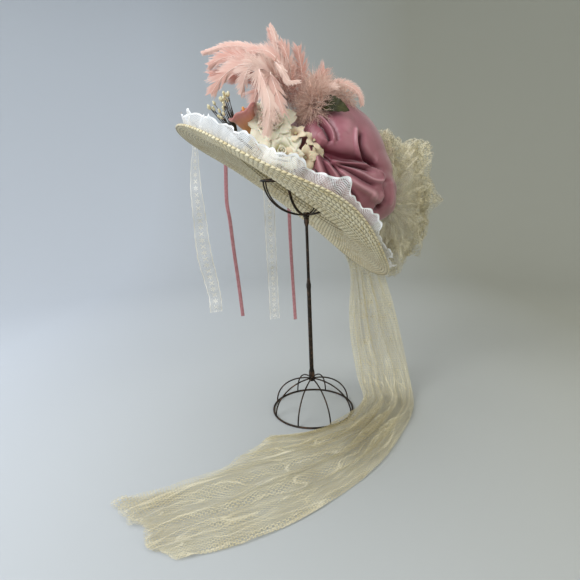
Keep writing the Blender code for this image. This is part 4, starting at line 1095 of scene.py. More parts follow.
def makePouf():
    pieces = []
    for shell in pouf["shells"]:
        seed = shell["seed"]
        turn, lift = np.meshgrid(roundSteps(pouf["angles"]), np.radians(np.linspace(-88, 88, pouf["lifts"])))
        ruffle = 1 + 0.060 * np.cos(pouf["ruffles"] * turn + 1.3 * np.sin(2 * lift)) * np.cos(lift)
        ruffle = ruffle + 0.035 * np.sin(3 * turn + 2.1 * lift)
        direction = np.stack([np.cos(lift) * np.cos(turn), np.sin(lift), np.cos(lift) * np.sin(turn)], -1)
        size = np.array(pouf["size"])
        px, py, pz = np.moveaxis(direction * 100, -1, 0)
        crumple = 1 - np.abs(softNoise(px / 11, pz / 11 + py / 13, seed, 2))
        crease = 1 - np.abs(softNoise(px / 6 + 3, pz / 6 + py / 5, seed + 1, 2))
        sharp = 1 - np.abs(softNoise(px / 3.4 + 9, pz / 3.4 + py / 3.0, seed + 2, 1))
        fanX, fanY = 5.5 * np.cos(turn) + 0.8 * lift, 5.5 * np.sin(turn) - 0.6 * lift
        spokes = 1 - np.abs(softNoise(fanX, fanY, seed + 4, 2))
        swell = 1 + (crumple - 0.8) * pouf["crumple"] + (crease - 0.8) * pouf["crease"]
        swell = swell + (sharp - 0.75) * pouf["sharp"] + (spokes - 0.8) * pouf["spokes"]
        points = direction * size * (ruffle * swell * shell["scale"])[..., None] + np.array(pouf["middle"])
        world = placed(points, layoutMatrix)
        local = placed(world, hatMatrix.inverted())
        hidden = insidePuff(local, 0.004) | insideSeat(local, 0.001, -0.0022)
        u = np.broadcast_to(np.linspace(0, 1, pouf["angles"] + 1) * 0.62, (pouf["lifts"], pouf["angles"] + 1))
        v = np.broadcast_to(np.linspace(0, 0.30, pouf["lifts"])[:, None], u.shape)
        piece = gridPiece("poufShell", world, False, True, u=u, v=v)
        keepFaces(piece, hidden.ravel())
        pieces.append(piece)
    return joinPieces("tullePouf", pieces)


poufPiece = finishPiece(makePouf(), finishes["poufNet"], "cream_net", "tulle_pouf")
print("pouf made")

train = {
    "rows": 310, "columns": 156, "span": 19, "floor": 0.0012, "pleats": 4,
    "rumple": 0.0011, "crease": 0.0042, "lean": 0.35,
    "route": table(
        "x y z width heading depth",
        (0.0560, 0.0560, 0.2700, 0.060, -52, 0.006),
        (0.0790, 0.0740, 0.2460, 0.066, -50, 0.007),
        (0.0990, 0.0860, 0.2260, 0.070, -47, 0.009),
        (0.1080, 0.0880, 0.1930, 0.070, -40, 0.012),
        (0.1120, 0.0820, 0.1480, 0.080, -28, 0.014),
        (0.1160, 0.0720, 0.1000, 0.088, -18, 0.016),
        (0.1220, 0.0580, 0.0540, 0.090, -14, 0.018),
        (0.1260, 0.0400, 0.0190, 0.088, -14, 0.019),
        (0.1270, 0.0120, 0.0008, 0.082, -20, 0.020),
        (0.1100, -0.0280, 0.0008, 0.084, -33, 0.022),
        (0.0860, -0.0740, 0.0008, 0.080, -44, 0.024),
        (0.0460, -0.1120, 0.0008, 0.108, -54, 0.022),
        (-0.0050, -0.1420, 0.0008, 0.140, -63, 0.019),
        (-0.0640, -0.1640, 0.0008, 0.182, -71, 0.017),
        (-0.1240, -0.1870, 0.0008, 0.192, -72, 0.014),
        (-0.1730, -0.2060, 0.0008, 0.180, -66, 0.011),
        (-0.2200, -0.2330, 0.0008, 0.166, -46, 0.008),
    ),
}


def softened(values, span):
    # a running mean that keeps both ends in place
    padded = np.pad(values, span // 2, mode="reflect", reflect_type="odd")
    return np.convolve(padded, np.ones(span) / span, "valid")


def makeTrain():
    share = np.linspace(0, 1, train["rows"])
    spot = {key: softened(between(train["route"], share, key), train["span"]) for key in train["route"][0]}
    middle = np.stack([spot["x"], spot["y"], np.maximum(spot["z"], train["floor"])], -1)
    along = unit(np.gradient(middle, axis=0))
    heading = np.radians(spot["heading"])
    across = np.stack([np.cos(heading), np.sin(heading), np.zeros_like(heading)], -1)
    up = unit(np.cross(along, across))
    pieces = []
    for layer in (0, 1):
        side = np.linspace(-0.5, 0.5, train["columns"])[None, :]
        t = share[:, None]
        step = t * 18
        wander = 0.12 * np.sin(0.7 * step) + 0.05 * np.sin(2.3 * step + layer)
        wander = wander + 0.30 * softNoise(side * 3.2, t * 15, 31 + layer, 2)
        phase = 2 * pi * (train["pleats"] * (1 + 0.35 * layer) * (side + 0.5) + wander)
        pleat = 0.5 - 0.5 * np.cos(phase)
        # sharper crests, and finer pleats between
        pleat = pleat**0.8 * 0.82 + 0.18 * (0.5 - 0.5 * np.cos(phase * 2.6 + 1.3 + 2 * np.sin(step * 0.5)))
        crest = 0.72 + 0.28 * np.sin(2.3 * (side + 0.5) * 12 + 0.35 * step)
        edge = 1 - np.abs(2 * side) ** 6
        rumple = softNoise(side * 16 + 0 * t, t * 70, 21 + layer, 3) * train["rumple"]
        crease = 1 - np.abs(softNoise(side * 22 + 0 * t, t * 38, 51 + layer, 2))
        grows = 0.35 + 0.65 * smoothStep(t, 0.25, 0.5)
        rumple = rumple + train["crease"] * np.clip(crease - 0.45, 0, 1) * grows
        lift = spot["depth"][:, None] * pleat * crest * edge * (1 - 0.35 * layer) + np.abs(rumple)
        # the sheet leans over at each crest, so that its layers lap
        lean = train["lean"] * spot["depth"][:, None] * np.sin(phase) * edge
        lift, lean = lift + 0.0004 * (1 - layer), lean * (1 - 0.5 * layer)
        points = middle[:, None] + across[:, None] * (side * spot["width"][:, None] + lean)[..., None]
        points = points + up[:, None] * lift[..., None]
        points = points + along[:, None] * (0.006 * smoothStep(t, 0.97, 1.0) * np.sin(phase * 0.7))[..., None]
        points[..., 2] = np.maximum(points[..., 2], train["floor"])
        world = placed(points, layoutMatrix)
        local = placed(world, hatMatrix.inverted())
        hidden = insidePuff(local, 0.001) | insideSeat(local, 0.001, -0.0012)
        v = np.broadcast_to(runLength(middle)[:, None], (train["rows"], train["columns"]))
        u = np.broadcast_to(np.linspace(0, 0.24, train["columns"])[None, :], v.shape)
        piece = gridPiece("trainLayer", world, u=u + 0.1 * layer, v=v)
        keepFaces(piece, hidden.ravel())
        pieces.append(piece)
    return joinPieces("tulleTrain", pieces)


trainPiece = finishPiece(makeTrain(), finishes["net"], "cream_net", "tulle_train")
print("train made")

ties = {
    "laceTieFront": {"node": "lace_tie_front", "scallops": 17, "route": table(
        "x z width",
        (-0.168, 0.421, 0.008), (-0.1725, 0.366, 0.018), (-0.171, 0.311, 0.022), (-0.169, 0.253, 0.026),
        (-0.158, 0.184, 0.023), (-0.157, 0.152, 0.021),
    )},
    "ribbonFront": {"node": "ribbon_front", "scallops": 0, "route": table(
        "x z width",
        (-0.130, 0.397, 0.0065), (-0.133, 0.337, 0.0065), (-0.130, 0.302, 0.0065),
        (-0.127, 0.247, 0.0065), (-0.123, 0.192, 0.0065), (-0.119, 0.125, 0.0065),
    )},
    "laceTieBack": {"node": "lace_tie_back", "scallops": 17, "route": table(
        "x z width",
        (-0.065, 0.357, 0.015), (-0.060, 0.343, 0.021), (-0.061, 0.260, 0.021), (-0.061, 0.182, 0.020),
        (-0.061, 0.105, 0.020),
    )},
    "ribbonBack": {"node": "ribbon_back", "scallops": 0, "route": table(
        "x z width",
        (-0.024, 0.324, 0.0065), (-0.024, 0.257, 0.0065), (-0.023, 0.192, 0.0065),
        (-0.021, 0.101, 0.0065),
    )},
}
tieMesh = {"rows": 160, "columns": 15}
ribbonMesh = {"rows": 120, "sides": 12, "thick": 0.00056, "wide": 0.0065}


def rimBehind(x):
    # the far side of the rim at an x of the layout
    low, high = radians(20), radians(175)
    local = layoutMatrix.inverted() @ hatMatrix
    for _ in range(40):
        middle = (low + high) / 2
        point = local @ Vector(brimPoint(np.array(middle), np.array(1.0)).tolist())
        low, high = (middle, high) if point.x > x else (low, middle)
    return point


def tieLines(spec, steps):
    edge = rimBehind(spec["route"][0]["x"])
    share = np.linspace(0, 1, steps)
    x, z, width = (between(spec["route"], share, key) for key in ("x", "z", "width"))
    z[0] = edge.z + 0.003
    y = edge.y + 0.0001 + 0.004 * share * np.sin(3 * share)
    turn = 0.35 * np.sin(2.5 * share)
    middle = np.stack([x, y, z], -1)
    across = np.stack([np.cos(turn), np.sin(turn), np.zeros_like(turn)], -1)
    return middle, across, width / 2


def makeLaceTie(name, spec):
    steps, columns = tieMesh["rows"], tieMesh["columns"]
    middle, across, half = tieLines(spec, steps)
    share = np.linspace(0, 1, steps)
    half = half * (1 - 0.07 * np.abs(np.cos(pi * spec["scallops"] * share)))
    side = np.linspace(-1, 1, columns)
    points = middle[:, None] + across[:, None] * (side[None, :] * half[:, None])[..., None]
    twist = 0.0012 * np.sin(share * 21)[:, None] * side[None, :]
    points[..., 1] += twist + 0.0008 * np.sin(share * 47)[:, None]
    points = placed(points, layoutMatrix)
    run = runLength(middle)
    u = np.broadcast_to(run[:, None], (steps, columns))
    v = np.broadcast_to(np.linspace(0, 1, columns)[None, :], u.shape)
    made = finishPiece(gridPiece(name, points, u=u, v=v), finishes["tieLace"], "white_lace", spec["node"])


def makeRibbon(name, spec):
    middle, across, half = tieLines(spec, ribbonMesh["rows"])
    middle = placed(middle, layoutMatrix)
    back = np.cross(unit(np.gradient(middle, axis=0)), across)
    turns = roundSteps(ribbonMesh["sides"])
    rings = middle[:, None] + across[:, None] * (half[:, None] * np.cos(turns))[..., None]
    rings = rings + back[:, None] * (ribbonMesh["thick"] / 2 * np.sin(turns))[None, :, None]
    made = closedTube(name, middle, rings)
    finishPiece(made, finishes["ribbon"], "mauve_satin", spec["node"])


for name, spec in ties.items():
    if spec["scallops"]:
        makeLaceTie(name, spec)
    else:
        makeRibbon(name, spec)
print("streamers made")


# Stand: a round-wire ring, ribs and a turned rod, black iron with rust

def makeRing(height):
    deselectAll()
    bpy.ops.mesh.primitive_torus_add(major_radius=stand["ring"], minor_radius=stand["ringWire"],
                                     major_segments=120, minor_segments=14,
                                     location=(stand["x"], stand["y"], height))
    ring = bpy.context.object
    bpy.ops.object.transform_apply(location=True, rotation=True, scale=True)
    bpy.ops.object.shade_smooth()
    return ring


def makeBell(name, foot, up, node):
    # foot is the ring's height and up says which way the ribs rise
    pieces = [makeRing(foot + up * stand["ringWire"])]
    for i in range(stand["ribs"]):
        angle = 2 * pi * (i + stand["ribOffset"]) / stand["ribs"]
        turn = pi / 2 * np.linspace(0.03, 0.995, 26)
        out = stand["ring"] * np.sin(turn)
        rise = foot + up * (stand["ringWire"] + (stand["bell"] - stand["ringWire"]) * np.cos(turn))
        path = np.stack([stand["x"] + out * cos(angle), stand["y"] + out * sin(angle), rise], -1)
        pieces.append(tubePiece("rib", path, stand["ribWire"], 10))
    deselectAll()
    bpy.ops.mesh.primitive_cylinder_add(vertices=40, radius=stand["hub"], depth=stand["hubLength"],
                                        location=(stand["x"], stand["y"], foot + up * stand["bell"]))
    hub = bpy.context.object
    bpy.ops.object.transform_apply(location=True, rotation=True, scale=True)
    applyModifier(hub, "BEVEL", width=stand["hubEdge"], segments=3)
    bpy.ops.object.shade_smooth()
    pieces.append(hub)
    return finishPiece(joinPieces(name, pieces), finishes["iron"], "dark_iron", node)


makeBell("standBase", 0.0, 1, "stand_base")
makeBell("standTop", stand["topRing"], -1, "stand_top")

# height and radius
rod = ((0.0575, 0.0046), (0.0640, 0.0046), (0.0665, 0.0040), (0.0700, 0.0033), (0.2000, 0.0031),
       (0.2030, 0.0036), (0.2080, 0.0036), (0.2110, 0.0029), (0.2160, 0.0023), (0.2960, 0.0022),
       (0.2990, 0.0030), (0.3020, 0.0038), (0.3088, 0.0038))


def makeRod():
    parts = [np.linspace(a[0], b[0], 5)[:-1] for a, b in zip(rod[:-1], rod[1:])]
    heights = np.concatenate(parts + [[rod[-1][0]]])
    radii = np.interp(heights, [row[0] for row in rod], [row[1] for row in rod])
    path = np.stack([np.full_like(heights, stand["x"]), np.full_like(heights, stand["y"]), heights], -1)
    return finishPiece(tubePiece("standRod", path, radii, 28), finishes["iron"], "dark_iron", "stand_stem")


makeRod()
print("stand made")


# Flowers: curved cloth petals with a thin wall

def facing(place, towards, up=(0, 0, 1)):
    z = Vector(towards).normalized()
    x = Vector(up).cross(z).normalized()
    return Matrix.Translation(place) @ Matrix((x, z.cross(x), z)).transposed().to_4x4()


def petalPoints(spec, turn, seed, rows=13, columns=13):
    # one petal in its flower's frame: z up the flower, and the petal's middle at the angle turn
    u, v = np.linspace(-1, 1, columns)[None, :], np.linspace(0, 1, rows)[:, None]
    draw = np.random.default_rng(seed)
    phase, grow = draw.uniform(0, 6.28), draw.uniform(0.92, 1.08)
    rounding = np.sqrt(np.clip(1 - (np.clip(v - 0.60, 0, 1) / 0.42) ** 2, 0, 1))
    half = spec["width"] / 2 * grow * (0.30 + 0.70 * np.minimum(1, v / 0.6) ** 0.8) * rounding + 0.0004
    arc, tall = spec["arc"], spec["height"] * grow
    curl = spec["curl"] * smoothStep(v, 0.62, 1.0) ** 1.5
    x = half * np.sin(arc * u) / arc
    y = spec["start"] + spec["lean"] * tall * v**1.3 - half * (1 - np.cos(arc * u)) / arc + curl
    y = y + spec["ruffle"] * np.sin(5 * u + phase) * v**2
    z = tall * v * (1 - 0.5 * spec["lean"] * v) * (1 - 0.10 * u * u * v) - curl * 0.75
    z = z + spec["ruffle"] * 0.7 * np.cos(6.3 * u + phase * 2) * v**2
    y, z = np.broadcast_to(y, x.shape), np.broadcast_to(z, x.shape)
    return np.stack([x * cos(turn) + y * sin(turn), -x * sin(turn) + y * cos(turn), z], -1)


def petalPiece(points, matrix):
    rows, columns = points.shape[:2]
    u, v = sheetUv(rows, columns)
    return gridPiece("petal", placed(points, matrix), u=u, v=v)


roses = {
    "roseLarge": {"node": "rose_large", "seed": 40, "place": (-0.070, -0.093, 0.062),
                  "root": (-0.052, -0.058, 0.045),
                  "foot": 0.013, "rings": table(
        "count width height start arc lean curl ruffle",
        (3, 0.013, 0.018, 0.0015, 1.5, 0.0, 0.001, 0.0003),
        (4, 0.019, 0.021, 0.004, 1.3, 0.08, 0.003, 0.0006),
        (5, 0.026, 0.024, 0.006, 1.0, 0.30, 0.004, 0.0009),
        (5, 0.031, 0.027, 0.006, 0.8, 0.62, 0.006, 0.0012),
        (5, 0.030, 0.026, 0.005, 0.6, 0.90, 0.005, 0.0012),
    )},
    "roseSmall": {"node": "rose_small", "seed": 80, "place": (-0.037, -0.106, 0.040),
                  "root": (-0.032, -0.062, 0.034),
                  "foot": 0.010, "rings": table(
        "count width height start arc lean curl ruffle",
        (3, 0.010, 0.012, 0.0012, 1.5, 0.0, 0.001, 0.00025),
        (4, 0.015, 0.015, 0.003, 1.3, 0.10, 0.002, 0.0005),
        (5, 0.021, 0.019, 0.005, 1.0, 0.45, 0.003, 0.00075),
        (6, 0.024, 0.023, 0.005, 0.7, 0.85, 0.004, 0.001),
    )},
}
roseCloth = {"thick": 0.0004, "stem": (0.0022, 0.0042)}


def makeRose(name, spec):
    place = Vector(spec["place"])
    outward = Vector((place.x * 0.5, place.y - 0.02, 0.035)).normalized()
    matrix = hatMatrix @ facing(place - outward * spec["foot"], outward)
    pieces, seed = [], spec["seed"]
    for k, ring in enumerate(spec["rings"]):
        for i in range(ring["count"]):
            turn = 2 * pi * (i + 0.37 * k) / ring["count"] + 0.2 * sin(i * 2.1 + k)
            pieces.append(petalPiece(petalPoints(ring, turn, seed), matrix))
            seed += 1
    rose = joinPieces(name, pieces)
    applyModifier(rose, "SOLIDIFY", thickness=roseCloth["thick"], offset=0.0)
    stem = np.linspace(np.array(spec["root"]), np.array(place - outward * spec["foot"] * 0.9), 8)
    stem = tubePiece("stem", placed(stem, hatMatrix), np.linspace(*roseCloth["stem"], 8), 12)
    rose = joinPieces(name, [rose, stem])
    finishPiece(rose, finishes["rose"], "ivory_petal", spec["node"])


for name, spec in roses.items():
    makeRose(name, spec)

calla = {
    "base": (-0.062, -0.050, 0.030), "mouth": (-0.109, -0.093, 0.056), "radius": 0.0145, "lip": 0.009,
    "sides": 49, "rows": 34, "thick": 0.0005, "droop": 0.006,
    "shape": table("wide", (0.16,), (0.22,), (0.34,), (0.66,), (1.02,), (1.30,)),
}


def makeCalla():
    base, mouth = Vector(calla["base"]), Vector(calla["mouth"])
    length = (mouth - base).length
    turn, share = np.meshgrid(roundSteps(calla["sides"]), np.linspace(0, 1, calla["rows"]))
    waves = 1 + 0.07 * share**3 * np.sin(3 * turn + 1)
    radius = calla["radius"] * between(calla["shape"], share, "wide") * waves
    lip = share**3 * calla["lip"] * np.cos(turn) + 0.0016 * share**4 * np.sin(5 * turn)
    droop = -calla["droop"] * smoothStep(share, 0.8, 1.0)
    points = np.stack([radius * np.cos(turn), radius * np.sin(turn), length * share + lip + droop], -1)
    matrix = hatMatrix @ facing(base, mouth - base)
    u, v = sheetUv(calla["rows"], calla["sides"] + 1)
    trumpet = gridPiece("trumpet", placed(points, matrix), False, True, u=u, v=v)
    applyModifier(trumpet, "SOLIDIFY", thickness=calla["thick"], offset=0.0)
    finishPiece(trumpet, finishes["calla"], "pink_petal", "calla")
    trumpet.name = trumpet.data.name = "callaTrumpet"
    heartTip = base + (mouth - base) * 0.96 + Vector((0.001, -0.002, 0.001))
    path = np.linspace(np.array(base), np.array(heartTip), 14)
    wide = 0.0006 + 0.0024 * np.sin(np.linspace(0.2, pi - 0.35, 14))
    heart = tubePiece("callaHeart", placed(path, hatMatrix), wide, 14)
    finishPiece(heart, finishes["callaHeart"], "pink_petal")


makeCalla()

stamens = {
    "root": (-0.098, -0.055, 0.028), "foot": (-0.0666, -0.0396, 0.028), "extra": 15,
    "spread": (0.006, 0.007, 0.009),
    "footWire": 0.0016, "thread": (0.0007, 0.0004), "beadHalf": 0.0032, "beadRadius": 0.0017,
    "tips": ((-0.136, -0.082, 0.050), (-0.131, -0.087, 0.058), (-0.142, -0.074, 0.043),
             (-0.130, -0.080, 0.038), (-0.127, -0.092, 0.046)),
}


def makeStamens():
    draw = np.random.default_rng(5)
    root = np.array(stamens["root"])
    tips = [np.array(tip) for tip in stamens["tips"]]
    tips += [tips[k % 5] + draw.uniform(-1, 1, 3) * stamens["spread"] for k in range(stamens["extra"])]
    foot = placed(np.linspace(np.array(stamens["foot"]), root, 6), hatMatrix)
    stems, anthers = [tubePiece("foot", foot, stamens["footWire"], 8)], []
    for k, tip in enumerate(tips):
        bend = (root + tip) / 2 + np.array((0.0, -0.003, 0.005 * sin(k * 1.7)))
        t = np.linspace(0, 1, 10)[:, None]
        path = root * (1 - t) ** 2 + bend * 2 * t * (1 - t) + tip * t * t
        stems.append(tubePiece("filament", placed(path, hatMatrix), np.linspace(*stamens["thread"], 10), 6))
        along = unit(tip - bend)
        bead = np.linspace(-1, 1, 9)
        line = tip + along * (bead * stamens["beadHalf"])[:, None]
        wide = stamens["beadRadius"] * np.sqrt(np.clip(1 - bead**2, 0.02, 1))
        wide = wide * (1 + 0.15 * np.sin(bead * 5 + k))
        anthers.append(tubePiece("bead", placed(line, hatMatrix), wide, 8))
    finishPiece(joinPieces("stamenStems", stems), finishes["stem"], "ivory_petal", "stamens")
    finishPiece(joinPieces("stamenTips", anthers), finishes["anther"], "ivory_petal")


makeStamens()

blossoms = {
    "heart": (-0.020, -0.080, 0.052),
    "flowers": ((-0.034, -0.094, 0.066, 0.0105), (-0.013, -0.093, 0.072, 0.0100),
                (-0.010, -0.098, 0.050, 0.0110), (-0.022, -0.102, 0.038, 0.0095),
                (0.000, -0.094, 0.060, 0.0085)),
    "eye": (0.0003, 0.0003, 0.0003, 0.0007, 0.0005), "eyeLength": 0.0040,
    "eyeSpread": 0.0013, "thick": 0.0003,
    "petal": {"arc": 0.7, "lean": 1.15, "curl": 0.001, "ruffle": 0.0008, "start": 0.0012},
    "berry": (-0.029, -0.080, 0.078, 0.005), "twigEnd": (0.018, -0.104, 0.040),
}


def makeBlossoms():
    petals, stems, eyes = [], [], []
    heart = np.array(blossoms["heart"])
    for k, (x, y, z, radius) in enumerate(blossoms["flowers"]):
        place = Vector((x, y, z))
        out = place - Vector(blossoms["heart"]) + Vector((-0.004, -0.012, 0))
        matrix = hatMatrix @ facing(place, out)
        for i in range(5):
            petal = dict(blossoms["petal"], width=radius * 1.25, height=radius * 1.1)
            petals.append(petalPiece(petalPoints(petal, 2 * pi * i / 5 + k, 120 + 7 * k + i, 8, 7), matrix))
        path = heart + (np.array(place) - heart) * np.linspace(0, 1, 7)[:, None]
        path[1:-1, 2] += 0.001 * np.sin(np.arange(5) + k)
        stems.append(tubePiece("stem", placed(path, hatMatrix), 0.0008, 7))
        for j in range(6):
            aside = Vector((cos(j), 0.0, sin(j))) * blossoms["eyeSpread"]
            tip = place + out.normalized() * blossoms["eyeLength"] + aside
            line = np.linspace(np.array(place), np.array(tip), 5)
            eyes.append(tubePiece("thread", placed(line, hatMatrix), np.array(blossoms["eye"]), 6))
    line = np.linspace(heart, np.array(blossoms["twigEnd"]), 12)
    line[:, 2] += 0.004 * np.sin(np.linspace(0, 3, 12))
    stems.append(tubePiece("twig", placed(line, hatMatrix), np.linspace(0.0012, 0.0006, 12), 8))
    cloth = joinPieces("blossomPetals", petals)
    applyModifier(cloth, "SOLIDIFY", thickness=blossoms["thick"], offset=0.0)
    finishPiece(cloth, finishes["blossom"], "ivory_petal", "blossoms")
    finishPiece(joinPieces("blossomStems", stems), finishes["stem"], "ivory_petal")
    finishPiece(joinPieces("blossomEyes", eyes), finishes["anther"], "ivory_petal")
    x, y, z, radius = blossoms["berry"]
    deselectAll()
    bpy.ops.mesh.primitive_uv_sphere_add(segments=32, ring_count=20, radius=radius, location=(0, 0, 0))
    berry = bpy.context.object
    for vert in berry.data.vertices:
        away = vert.co.normalized().z
        vert.co *= 1 - 0.16 * max(0.0, away - 0.86) / 0.14
        vert.co.z *= 1.06
    berry.data.transform(hatMatrix @ facing((x, y, z), (-0.2, -1.0, 0.5)))
    bpy.ops.object.shade_smooth()
    berry.name = berry.data.name = "pinkBerry"
    finishPiece(berry, finishes["berry"], "pink_petal", "berry")


makeBlossoms()

leaves = {
    "leafLarge": {"node": "leaf_large", "width": 0.020,
                  "root": (-0.036, -0.078, 0.116), "tip": (0.003, -0.096, 0.127)},
    "leafSmall": {"node": "leaf_small", "width": 0.012,
                  "root": (-0.070, -0.060, 0.090), "tip": (-0.097, -0.100, 0.086)},
}
leafMesh = {"rows": 33, "columns": 15, "thick": 0.0004}


def makeLeaf(name, spec):
    root, tip = Vector(spec["root"]), Vector(spec["tip"])
    length = (tip - root).length
    share = np.linspace(0, 1, leafMesh["rows"])[:, None]
    side = np.linspace(-1, 1, leafMesh["columns"])[None, :]
    wide = np.sin(pi * share**0.75) ** 0.8 * 0.5 + 0.02
    teeth = 1 + 0.06 * np.abs(np.sin(share * 30)) * np.abs(side) ** 4
    half = spec["width"] * wide * teeth
    bend = 0.12 * length * np.sin(pi * share) + 0.0006 * np.sin(share * 40) * np.abs(side)
    points = np.stack(np.broadcast_arrays(side * half, 0.22 * np.abs(side) * half + bend, length * share), -1)
    matrix = hatMatrix @ facing(root, tip - root, (0, -1, 0.2))
    u, v = sheetUv(leafMesh["rows"], leafMesh["columns"])
    leaf = gridPiece(name, placed(points, matrix), u=u, v=v)
    applyModifier(leaf, "SOLIDIFY", thickness=leafMesh["thick"], offset=0.0)
    finishPiece(leaf, finishes["leaf"], "green_leaf", spec["node"])


for name, spec in leaves.items():
    makeLeaf(name, spec)
print("flowers and leaves made")

# Feathers: flat vanes built from barbs, and down
# width in metres, and each quill's route in millimetres of the hat's frame
feathers = table(
    "width tone path",
    (0.020, 0.65, ((-66, -66, 104), (-95, -70, 119), (-132, -70, 125), (-163, -66, 115), (-192, -60, 87))),
    (0.028, 0.35, ((-70, -72, 102), (-104, -75, 112), (-134, -75, 111), (-160, -72, 98), (-173, -70, 78))),
    (0.030, 0.50, ((-76, -74, 98), (-110, -81, 110), (-135, -83, 100), (-148, -82, 76), (-150, -80, 50))),
    (0.024, 0.85, ((-80, -78, 100), (-112, -89, 113), (-125, -93, 98), (-117, -92, 68))),
    (0.030, 0.25, ((-76, -66, 96), (-110, -68, 100), (-142, -68, 87), (-168, -62, 71))),
    (0.013, 0.75, ((-66, -60, 104), (-95, -64, 124), (-114, -63, 144), (-129, -60, 158), (-142, -56, 166))),
    (0.022, 0.45, ((-64, -62, 108), (-86, -67, 131), (-103, -66, 146), (-117, -64, 154))),
    (0.012, 0.95, ((-80, -74, 106), (-104, -89, 121), (-94, -97, 119), (-78, -99, 112), (-66, -99, 119))),
    (0.031, 1.00, ((-92, -84, 112), (-113, -96, 104), (-97, -105, 91), (-77, -112, 73), (-62, -114, 43))),
    (0.026, 0.55, ((-92, -84, 110), (-100, -98, 107), (-80, -106, 91), (-60, -110, 76))),
    (0.017, 0.60, ((-56, -56, 122), (-43, -54, 144), (-24, -53, 163), (-3, -53, 166), (12, -55, 156))),
    (0.028, 0.30, ((-68, -52, 108), (-108, -44, 128), (-144, -33, 133), (-167, -27, 125))),
    (0.020, 0.40, ((-64, -56, 110), (-94, -50, 131), (-124, -44, 155), (-143, -41, 167))),
    (0.026, 0.30, ((-60, -58, 118), (-76, -53, 143), (-99, -49, 167))),
    (0.026, 0.25, ((-56, -60, 120), (-52, -57, 145), (-54, -54, 163))),
    (0.013, 1.00, ((-50, -68, 126), (-40, -75, 141), (-26, -78, 147))),
    (0.024, 0.40, ((-70, -78, 100), (-92, -90, 98), (-100, -98, 80), (-94, -100, 62))),
    (0.024, 0.55, ((-72, -70, 110), (-98, -78, 127), (-122, -78, 131), (-142, -74, 118))),
)
feather = {"barbs": 120, "steps": 5, "open": 40.0, "spacing": 1.5,
           "reach": (0.72, 1.08), "quill": (0.00075, 0.00012)}


def makeFeather(spec, seed):
    # strips either side of the quill, leaning towards the tip, in clumps that part a little
    draw = np.random.default_rng(seed)
    rows = [{key: value / 1000 for key, value in zip("xyz", point)} for point in spec["path"]]

    def at(t):
        return np.stack([between(rows, t, key) for key in "xyz"], -1)
    t = np.linspace(0.10, 0.995, feather["barbs"])
    spots = at(t)
    along = unit(at(np.minimum(t + 0.01, 1.0)) - at(np.minimum(t + 0.01, 1.0) - 0.02))
    toViewer = np.array((0.10, -1.0, 0.25))
    side = unit(np.cross(along, toViewer))
    face = np.cross(side, along)
    length = np.linalg.norm(np.diff(at(np.linspace(0, 1, 60)), axis=0), axis=1).sum()
    gap = length / feather["barbs"]
    profile = np.sin(pi * np.clip(0.16 + 0.84 * t, 0, 1)) ** 0.55 * (1 - 0.25 * t)
    clump = np.repeat(draw.uniform(-1, 1, feather["barbs"] // 8 + 1), 8)[:feather["barbs"]]
    s = np.linspace(0, 1, feather["steps"])[None, :, None]
    lines, halves, tones = [], [], []
    for hand in (-1, 1):
        lean = np.radians(feather["open"] - 14 * t + 7 * clump * hand + draw.uniform(-2, 2, len(t)))
        reach = spec["width"] / 2 * profile / np.sin(lean) * draw.uniform(*feather["reach"], len(t))
        out = side * hand * np.sin(lean)[:, None] + along * np.cos(lean)[:, None]
        path = spots[:, None] + out[:, None] * reach[:, None, None] * s
        path = path + along[:, None] * (reach * 0.12)[:, None, None] * s**2
        path = path - face[:, None] * (reach * (0.16 + 0.08 * clump))[:, None, None] * s**1.6
        across = np.cross(out, face)
        wide = gap * feather["spacing"] / 2 * (1 - 0.75 * s**1.5)
        lines.append(path)
        halves.append(across[:, None] * wide)
        tones.append(np.clip(spec["tone"] + 0.12 * clump + draw.uniform(-0.08, 0.08, len(t)), 0, 1))
    quill = placed(at(np.linspace(0, 0.98, 26)), hatMatrix)
    rod = tubePiece("quill", quill, np.linspace(*feather["quill"], 26), 6)
    return np.concatenate(lines), np.concatenate(halves), np.concatenate(tones), rod


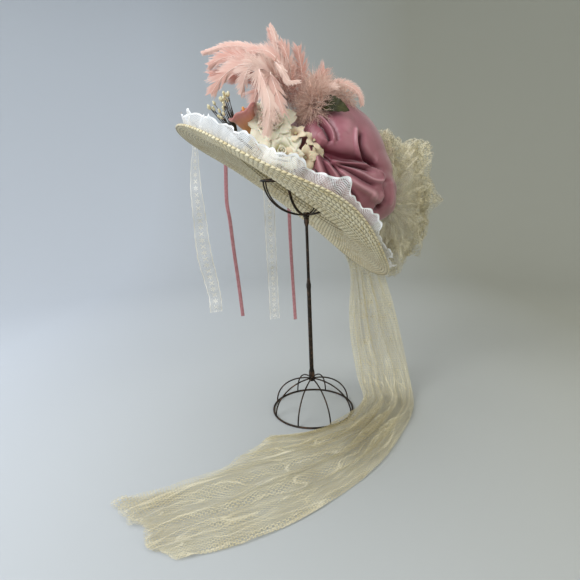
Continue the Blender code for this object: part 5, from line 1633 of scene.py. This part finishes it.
down = table(
    "name place size count length tone",
    ("dustyDown", (-0.038, -0.079, 0.112), (0.022, 0.016, 0.026), 3200, 0.0150, (0.0, 0.6)),
    ("dustyDown", (-0.040, -0.062, 0.138), (0.026, 0.012, 0.012), 1500, 0.0170, (0.2, 0.8)),
    ("dustyDown", (-0.014, -0.064, 0.148), (0.018, 0.008, 0.008), 700, 0.0120, (0.2, 0.9)),
    ("pinkDown", (-0.080, -0.072, 0.108), (0.026, 0.014, 0.018), 1500, 0.0150, (0.1, 0.7)),
    ("pinkDown", (-0.100, -0.056, 0.130), (0.026, 0.010, 0.012), 900, 0.0150, (0.3, 0.9)),
    ("pinkDown", (-0.070, -0.105, 0.062), (0.008, 0.005, 0.012), 260, 0.0120, (0.7, 1.0)),
)
downBarb = {"steps": 6, "wide": 0.00052}


def makeDown(cluster, seed):
    # thin barbs that stand off a soft core and curl at their ends
    draw = np.random.default_rng(seed)
    count = cluster["count"]
    way = unit(draw.normal(size=(count, 3)))
    start = np.array(cluster["place"]) + way * np.array(cluster["size"]) * draw.uniform(0.35, 1.0, (count, 1))
    drift = unit(way + draw.normal(size=(count, 3)) * 0.45)
    curl = np.cross(drift, draw.normal(size=(count, 3)))
    s = np.linspace(0, 1, downBarb["steps"])[None, :, None]
    long = (cluster["length"] * draw.uniform(0.5, 1.25, count))[:, None, None]
    path = start[:, None] + drift[:, None] * long * s + curl[:, None] * long * 0.28 * s**2
    across = unit(np.cross(drift, curl))
    halves = across[:, None] * (downBarb["wide"] / 2 * (1 - 0.8 * s))
    return path, halves, draw.uniform(*cluster["tone"], count)


def makePlume():
    vanes, quills = [], []
    for k, spec in enumerate(feathers):
        lines, halves, tones, rod = makeFeather(spec, 300 + k)
        vanes.append((lines, halves, tones))
        quills.append(rod)
    lines, halves, tones = (np.concatenate(part) for part in zip(*vanes))
    turn = np.array(hatMatrix.to_3x3())
    vane = stripPiece("featherVanes", placed(lines, hatMatrix), halves @ turn.T, tones)
    finishPiece(vane, finishes["feather"], "pink_feather", "feather_plume")
    finishPiece(joinPieces("featherQuills", quills), finishes["quill"], "pink_feather")
    for name, finish in (("dustyDown", "fluff"), ("pinkDown", "feather")):
        tufts = [makeDown(cluster, 500 + k) for k, cluster in enumerate(down) if cluster["name"] == name]
        lines, halves, tones = (np.concatenate(part) for part in zip(*tufts))
        tuft = stripPiece(name, placed(lines, hatMatrix), halves @ turn.T, tones)
        finishPiece(tuft, finishes[finish], "pink_feather")


makePlume()
print("plume made")
